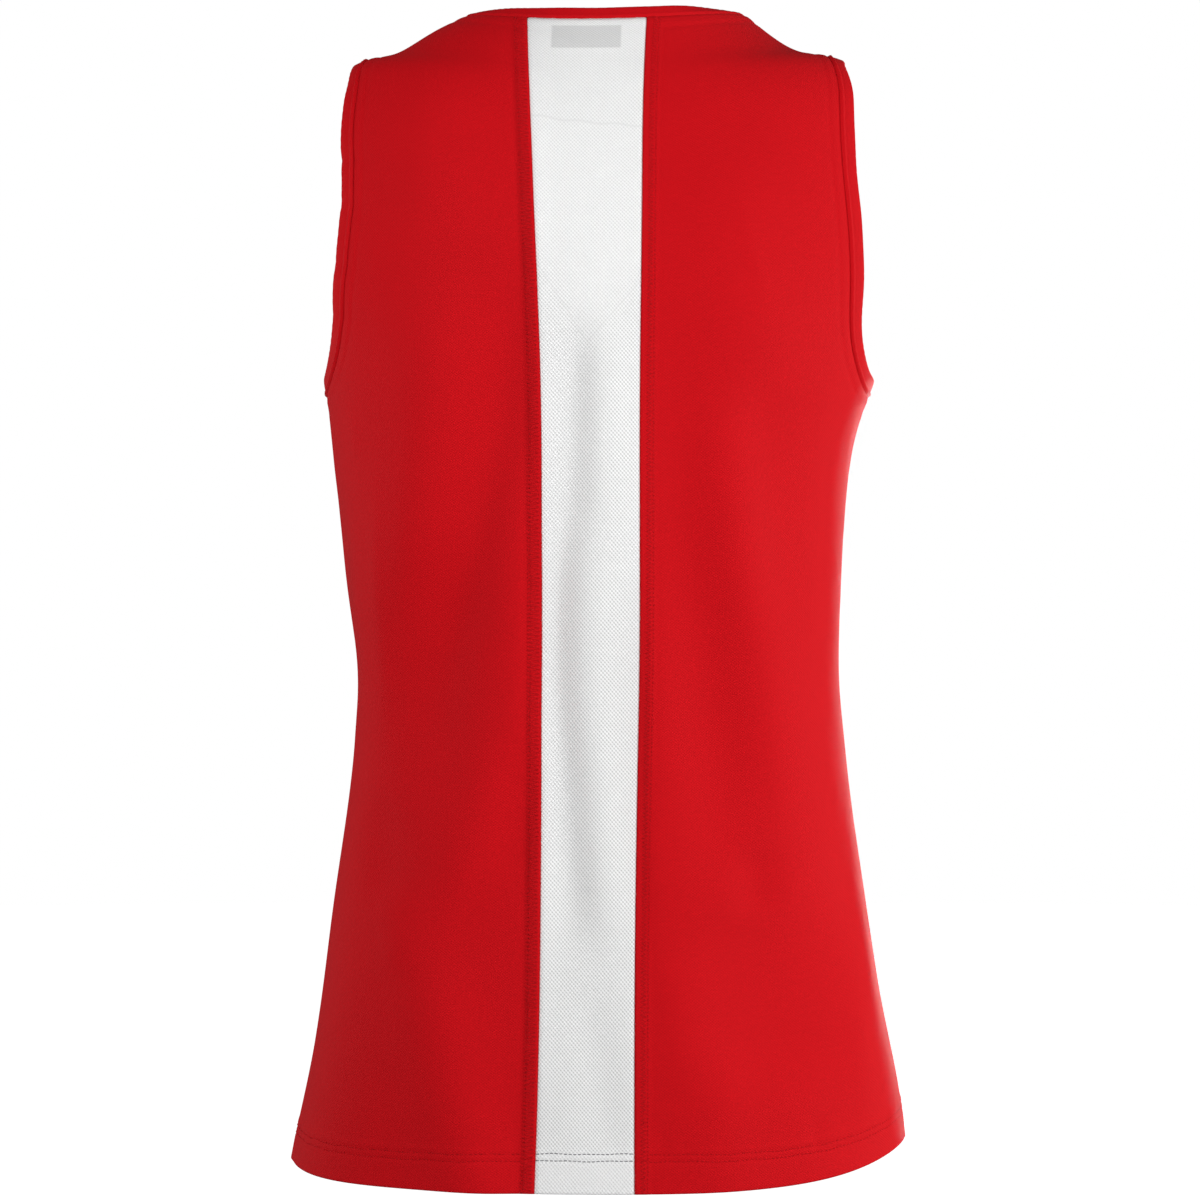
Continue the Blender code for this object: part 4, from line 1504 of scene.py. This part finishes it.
class TOP_OT_back_panels(bpy.types.Operator):
    """Builds the two red back panels."""

    bl_idname = "tank_top.back_panels"
    bl_label = "Back Panels"

    def execute(self, context):
        sizes = context.scene.top_sizes
        for side, name in SIDES:
            seams = [("strip_" + name, "strip_red"), ("neck", "band"), *outer_seams(name)]
            piece, area = make_panel(sizes, f"back_{name}_knit", [back_panel(sizes, side)], seams)
            dress(context, piece, "red_pique_knit", "red_knit", f"back_{name}")
        return {"FINISHED"}


class TOP_OT_back_strip(bpy.types.Operator):
    """Builds the white mesh strip down the centre back."""

    bl_idname = "tank_top.back_strip"
    bl_label = "Back Mesh Strip"

    def execute(self, context):
        sizes = context.scene.top_sizes
        seams = [("strip_left", "strip_white"), ("strip_right", "strip_white"), ("neck", "band")]
        piece, area = make_panel(sizes, "back_strip_mesh", [strip_panel(sizes)], seams)
        dress(context, piece, "white_mesh_knit", "white_mesh", "back_center")
        return {"FINISHED"}


class TOP_OT_front(bpy.types.Operator):
    """Builds the red front with its V neck."""

    bl_idname = "tank_top.front"
    bl_label = "Front"

    def execute(self, context):
        sizes = context.scene.top_sizes
        seams = [("neck", "band"), *outer_seams("left"), *outer_seams("right")]
        grids = [front_half(sizes, side) for side, _ in SIDES]
        piece, area = make_panel(sizes, "front_knit", grids, seams)
        dress(context, piece, "red_pique_knit", "red_knit", "front")
        return {"FINISHED"}


class TOP_OT_neck_binding(bpy.types.Operator):
    """Builds the folded binding round the neck."""

    bl_idname = "tank_top.neck_binding"
    bl_label = "Neck Binding"

    def execute(self, context):
        sizes = context.scene.top_sizes
        line = neck_loop()
        piece, length = make_band(
            sizes, "neck_binding", line, sizes.neck_band_width / MM, (0.0, 0.0, NECK_POINT),
            NECK_RIDGE, lean(line),
        )
        dress(context, piece, "red_binding", "red_band", "neckband")
        return {"FINISHED"}


class TOP_OT_armhole_bindings(bpy.types.Operator):
    """Builds the folded bindings round the two armholes."""

    bl_idname = "tank_top.armhole_bindings"
    bl_label = "Armhole Bindings"

    def execute(self, context):
        sizes = context.scene.top_sizes
        middle = (UNDERARM + SHOULDER_TIP) / 2.0
        for side, name in SIDES:
            line = armhole_loop(side)
            half_width = float(section(name, rise_at("side_height", middle)))
            piece, length = make_band(
                sizes, f"armhole_binding_{name}", line, sizes.arm_band_width / MM,
                (side * half_width, 0.0, middle), ARMHOLE_RIDGE, droop(line, DROOPS[name]),
            )
            dress(context, piece, "red_binding", "red_band", f"armband_{name}")
        return {"FINISHED"}


class TOP_OT_neck_label(bpy.types.Operator):
    """Builds the blank label inside the back neck."""

    bl_idname = "tank_top.neck_label"
    bl_label = "Neck Label"

    def execute(self, context):
        sizes = context.scene.top_sizes
        top = section("back_height", TOP) - LABEL_BELOW_NECK
        heights = np.linspace(top - LABEL_DROP, top, LABEL_ROWS)
        across = np.linspace(0.5, -0.5, LABEL_COLUMNS) * LABEL_WIDTH + LABEL_CENTRE
        rise = np.repeat(rise_at("back_height", heights)[:, None], LABEL_COLUMNS, axis=1)
        turn = turn_at(np.repeat(across[None, :], LABEL_ROWS, axis=0), rise)
        places, faces = sheet_places([(turn, rise)])
        turn, rise = places.T
        normals = outward(surface, turn, rise)
        outer = surface(turn, rise) - (sizes.wall / MM + LABEL_GAP) * normals
        inner = outer - LABEL_THICKNESS * normals
        cloth = np.stack((girth(turn, rise), rise), axis=-1)
        piece = make_shell("neck_label_tape", outer, inner, faces, cloth)
        dress(context, piece, "label_tape", "label_tape", "neck_label")
        return {"FINISHED"}


class TOP_OT_strip_seam_threads(bpy.types.Operator):
    """Sews the cover stitch beside each edge of the mesh strip."""

    bl_idname = "tank_top.strip_seam_threads"
    bl_label = "Strip Seam Threads"

    def execute(self, context):
        sizes = context.scene.top_sizes
        rise = np.linspace(0.6, TOP - 0.5, 2 * CURVE_SAMPLES)
        for side, name, rungs_from, rungs_to, needle_rows in STRIP_THREADS:
            seams = (("strip_" + name, "strip_red"), ("neck", "band"))

            def sewn(rises, distance):
                turn, _ = beside_strip(side, rises, distance)
                return finished_surface(sizes, turn, rises, seams)

            lines = [sewn(rise, distance) for distance in needle_rows]
            piece = make_stitches(sizes, f"strip_seam_stitches_{name}", lines, "strip")
            dress(context, piece, "red_thread", "red_knit")
            periods = int(distances(lines[0][0])[-1] / (sizes.stitch_pitch / MM))
            phase = np.linspace(0.0, periods, periods * RUNG_STEPS + 1)
            zigzag = np.abs((phase % 1.0) * 2.0 - 1.0)
            distance = rungs_from + (rungs_to - rungs_from) * smooth(0.0, 1.0, zigzag)
            rung_rise = np.interp(phase, (0.0, periods), (rise[0], rise[-1]))
            centre, facing = sewn(rung_rise, distance)
            radius = STITCHES["strip"][STITCH_COLUMNS.index("radius")] * sizes.thread_radius / MM
            piece = make_thread(
                f"strip_seam_cover_{name}", centre + RUNG_LIFT * facing, facing, radius
            )
            dress(context, piece, "red_thread", "red_knit")
        return {"FINISHED"}


class TOP_OT_hem_threads(bpy.types.Operator):
    """Sews the two rows of hem stitches, red round the knit and grey across the mesh strip."""

    bl_idname = "tank_top.hem_threads"
    bl_label = "Hem Threads"

    def execute(self, context):
        sizes = context.scene.top_sizes
        red_lines, grey_lines = [], []
        for row, at_back in enumerate(hem_row_rises(sizes, math.pi / 2.0)):
            left, right = (strip_turn(side, at_back) for side, _ in SIDES)
            for start, end, lines in (
                (left, right, grey_lines), (right, left + 2.0 * math.pi, red_lines),
            ):
                turn = np.linspace(start, end, 4 * CURVE_SAMPLES)
                rise = hem_row_rises(sizes, turn)[row] + sum(
                    reach * np.sin(turn * rate + late * row) for reach, rate, late in HEM_WANDER
                )
                lines.append(finished_surface(sizes, turn, rise, ()))
        piece = make_stitches(sizes, "hem_stitches_knit", red_lines, "hem")
        dress(context, piece, "red_thread", "red_knit")
        piece = make_stitches(sizes, "hem_stitches_strip", grey_lines, "hem")
        dress(context, piece, "grey_thread", "white_mesh")
        return {"FINISHED"}


class TOP_OT_stage(bpy.types.Operator):
    """Sets the floor, the soft lights and the camera at the photograph's angle."""

    bl_idname = "tank_top.stage"
    bl_label = "Stage"

    def execute(self, context):
        bpy.ops.mesh.primitive_circle_add(
            vertices=96, radius=FLOOR_RADIUS, fill_type="NGON", location=(0.0, 0.0, -FLOOR_DROP)
        )
        floor = context.object
        floor.name = "studio_floor"
        floor.data.materials.append(floor_material(context.scene.top_colours))
        add_world(context.scene)
        aim = Vector((0.0, 0.0, CAMERA_HEIGHT))
        for light in rows(LIGHT_COLUMNS, LIGHTS):
            add_light(light, aim)
        lens = bpy.data.cameras.new("photo_camera")
        lens.sensor_width = 36.0
        lens.lens = CAMERA_LENS
        lens.clip_end = 50.0
        place = (-math.sin(CAMERA_AZIMUTH), math.cos(CAMERA_AZIMUTH), 0.0)
        context.scene.camera = aimed("photo_camera", lens, aim, CAMERA_DISTANCE * Vector(place))
        context.scene.view_settings.view_transform = "Standard"
        return {"FINISHED"}


def aimed(name, data, aim, offset):
    """A light or camera placed at an offset from the aim and facing it."""
    made = bpy.data.objects.new(name, data)
    made.location = aim + offset
    made.rotation_euler = (-offset).to_track_quat("-Z", "Y").to_euler()
    bpy.context.scene.collection.objects.link(made)
    return made


def add_light(light, aim):
    """A square soft light, placed round the aim and facing it."""
    data = bpy.data.lights.new(light["name"], "AREA")
    data.size = light["size"]
    data.energy = light["power"]
    data.spread = math.radians(light["spread"])
    azimuth, elevation = math.radians(light["azimuth"]), math.radians(light["elevation"])
    level = math.cos(elevation)
    place = (-level * math.sin(azimuth), level * math.cos(azimuth), math.sin(elevation))
    aimed(light["name"], data, aim, light["distance"] * Vector(place))


def add_world(scene):
    """White surroundings: full white to the eye, and a softer white as light."""
    world = bpy.data.worlds.new("studio_world")
    scene.world = world
    world.use_nodes = True
    background = world.node_tree.nodes["Background"]
    background.inputs["Color"].default_value = (1.0, 1.0, 1.0, 1.0)
    seen = signal(world.node_tree, "ShaderNodeLightPath", (), "Is Camera Ray")
    (seen * (1.0 - WORLD_LIGHT) + WORLD_LIGHT).feed(background, "Strength")


# Panel, registration and run


OPERATORS = (
    TOP_OT_back_panels,
    TOP_OT_back_strip,
    TOP_OT_front,
    TOP_OT_neck_binding,
    TOP_OT_armhole_bindings,
    TOP_OT_neck_label,
    TOP_OT_strip_seam_threads,
    TOP_OT_hem_threads,
    TOP_OT_stage,
)


class TOP_PT_sidebar(bpy.types.Panel):
    """Lists the tank top's settings and steps."""

    bl_idname = "TOP_PT_sidebar"
    bl_label = "Tank Top"
    bl_space_type = "VIEW_3D"
    bl_region_type = "UI"
    bl_category = "Tank Top"

    def draw(self, context):
        layout = self.layout
        for group in (context.scene.top_sizes, context.scene.top_colours):
            box = layout.box()
            for name in group.__annotations__:
                box.prop(group, name)
        for operator in OPERATORS:
            layout.operator(operator.bl_idname)


CLASSES = (TopSizes, TopColours, *OPERATORS, TOP_PT_sidebar)


def register():
    """Registers the classes and adds the settings to the scene."""
    for kind in CLASSES:
        bpy.utils.register_class(kind)
    bpy.types.Scene.top_sizes = PointerProperty(type=TopSizes)
    bpy.types.Scene.top_colours = PointerProperty(type=TopColours)


def unregister():
    """Takes the settings and classes away again."""
    del bpy.types.Scene.top_colours
    del bpy.types.Scene.top_sizes
    for kind in reversed(CLASSES):
        bpy.utils.unregister_class(kind)


def main():
    register()
    for operator in OPERATORS:
        step = operator.bl_idname.split(".")[1]
        getattr(bpy.ops.tank_top, step)()


if __name__ == "__main__":
    main()
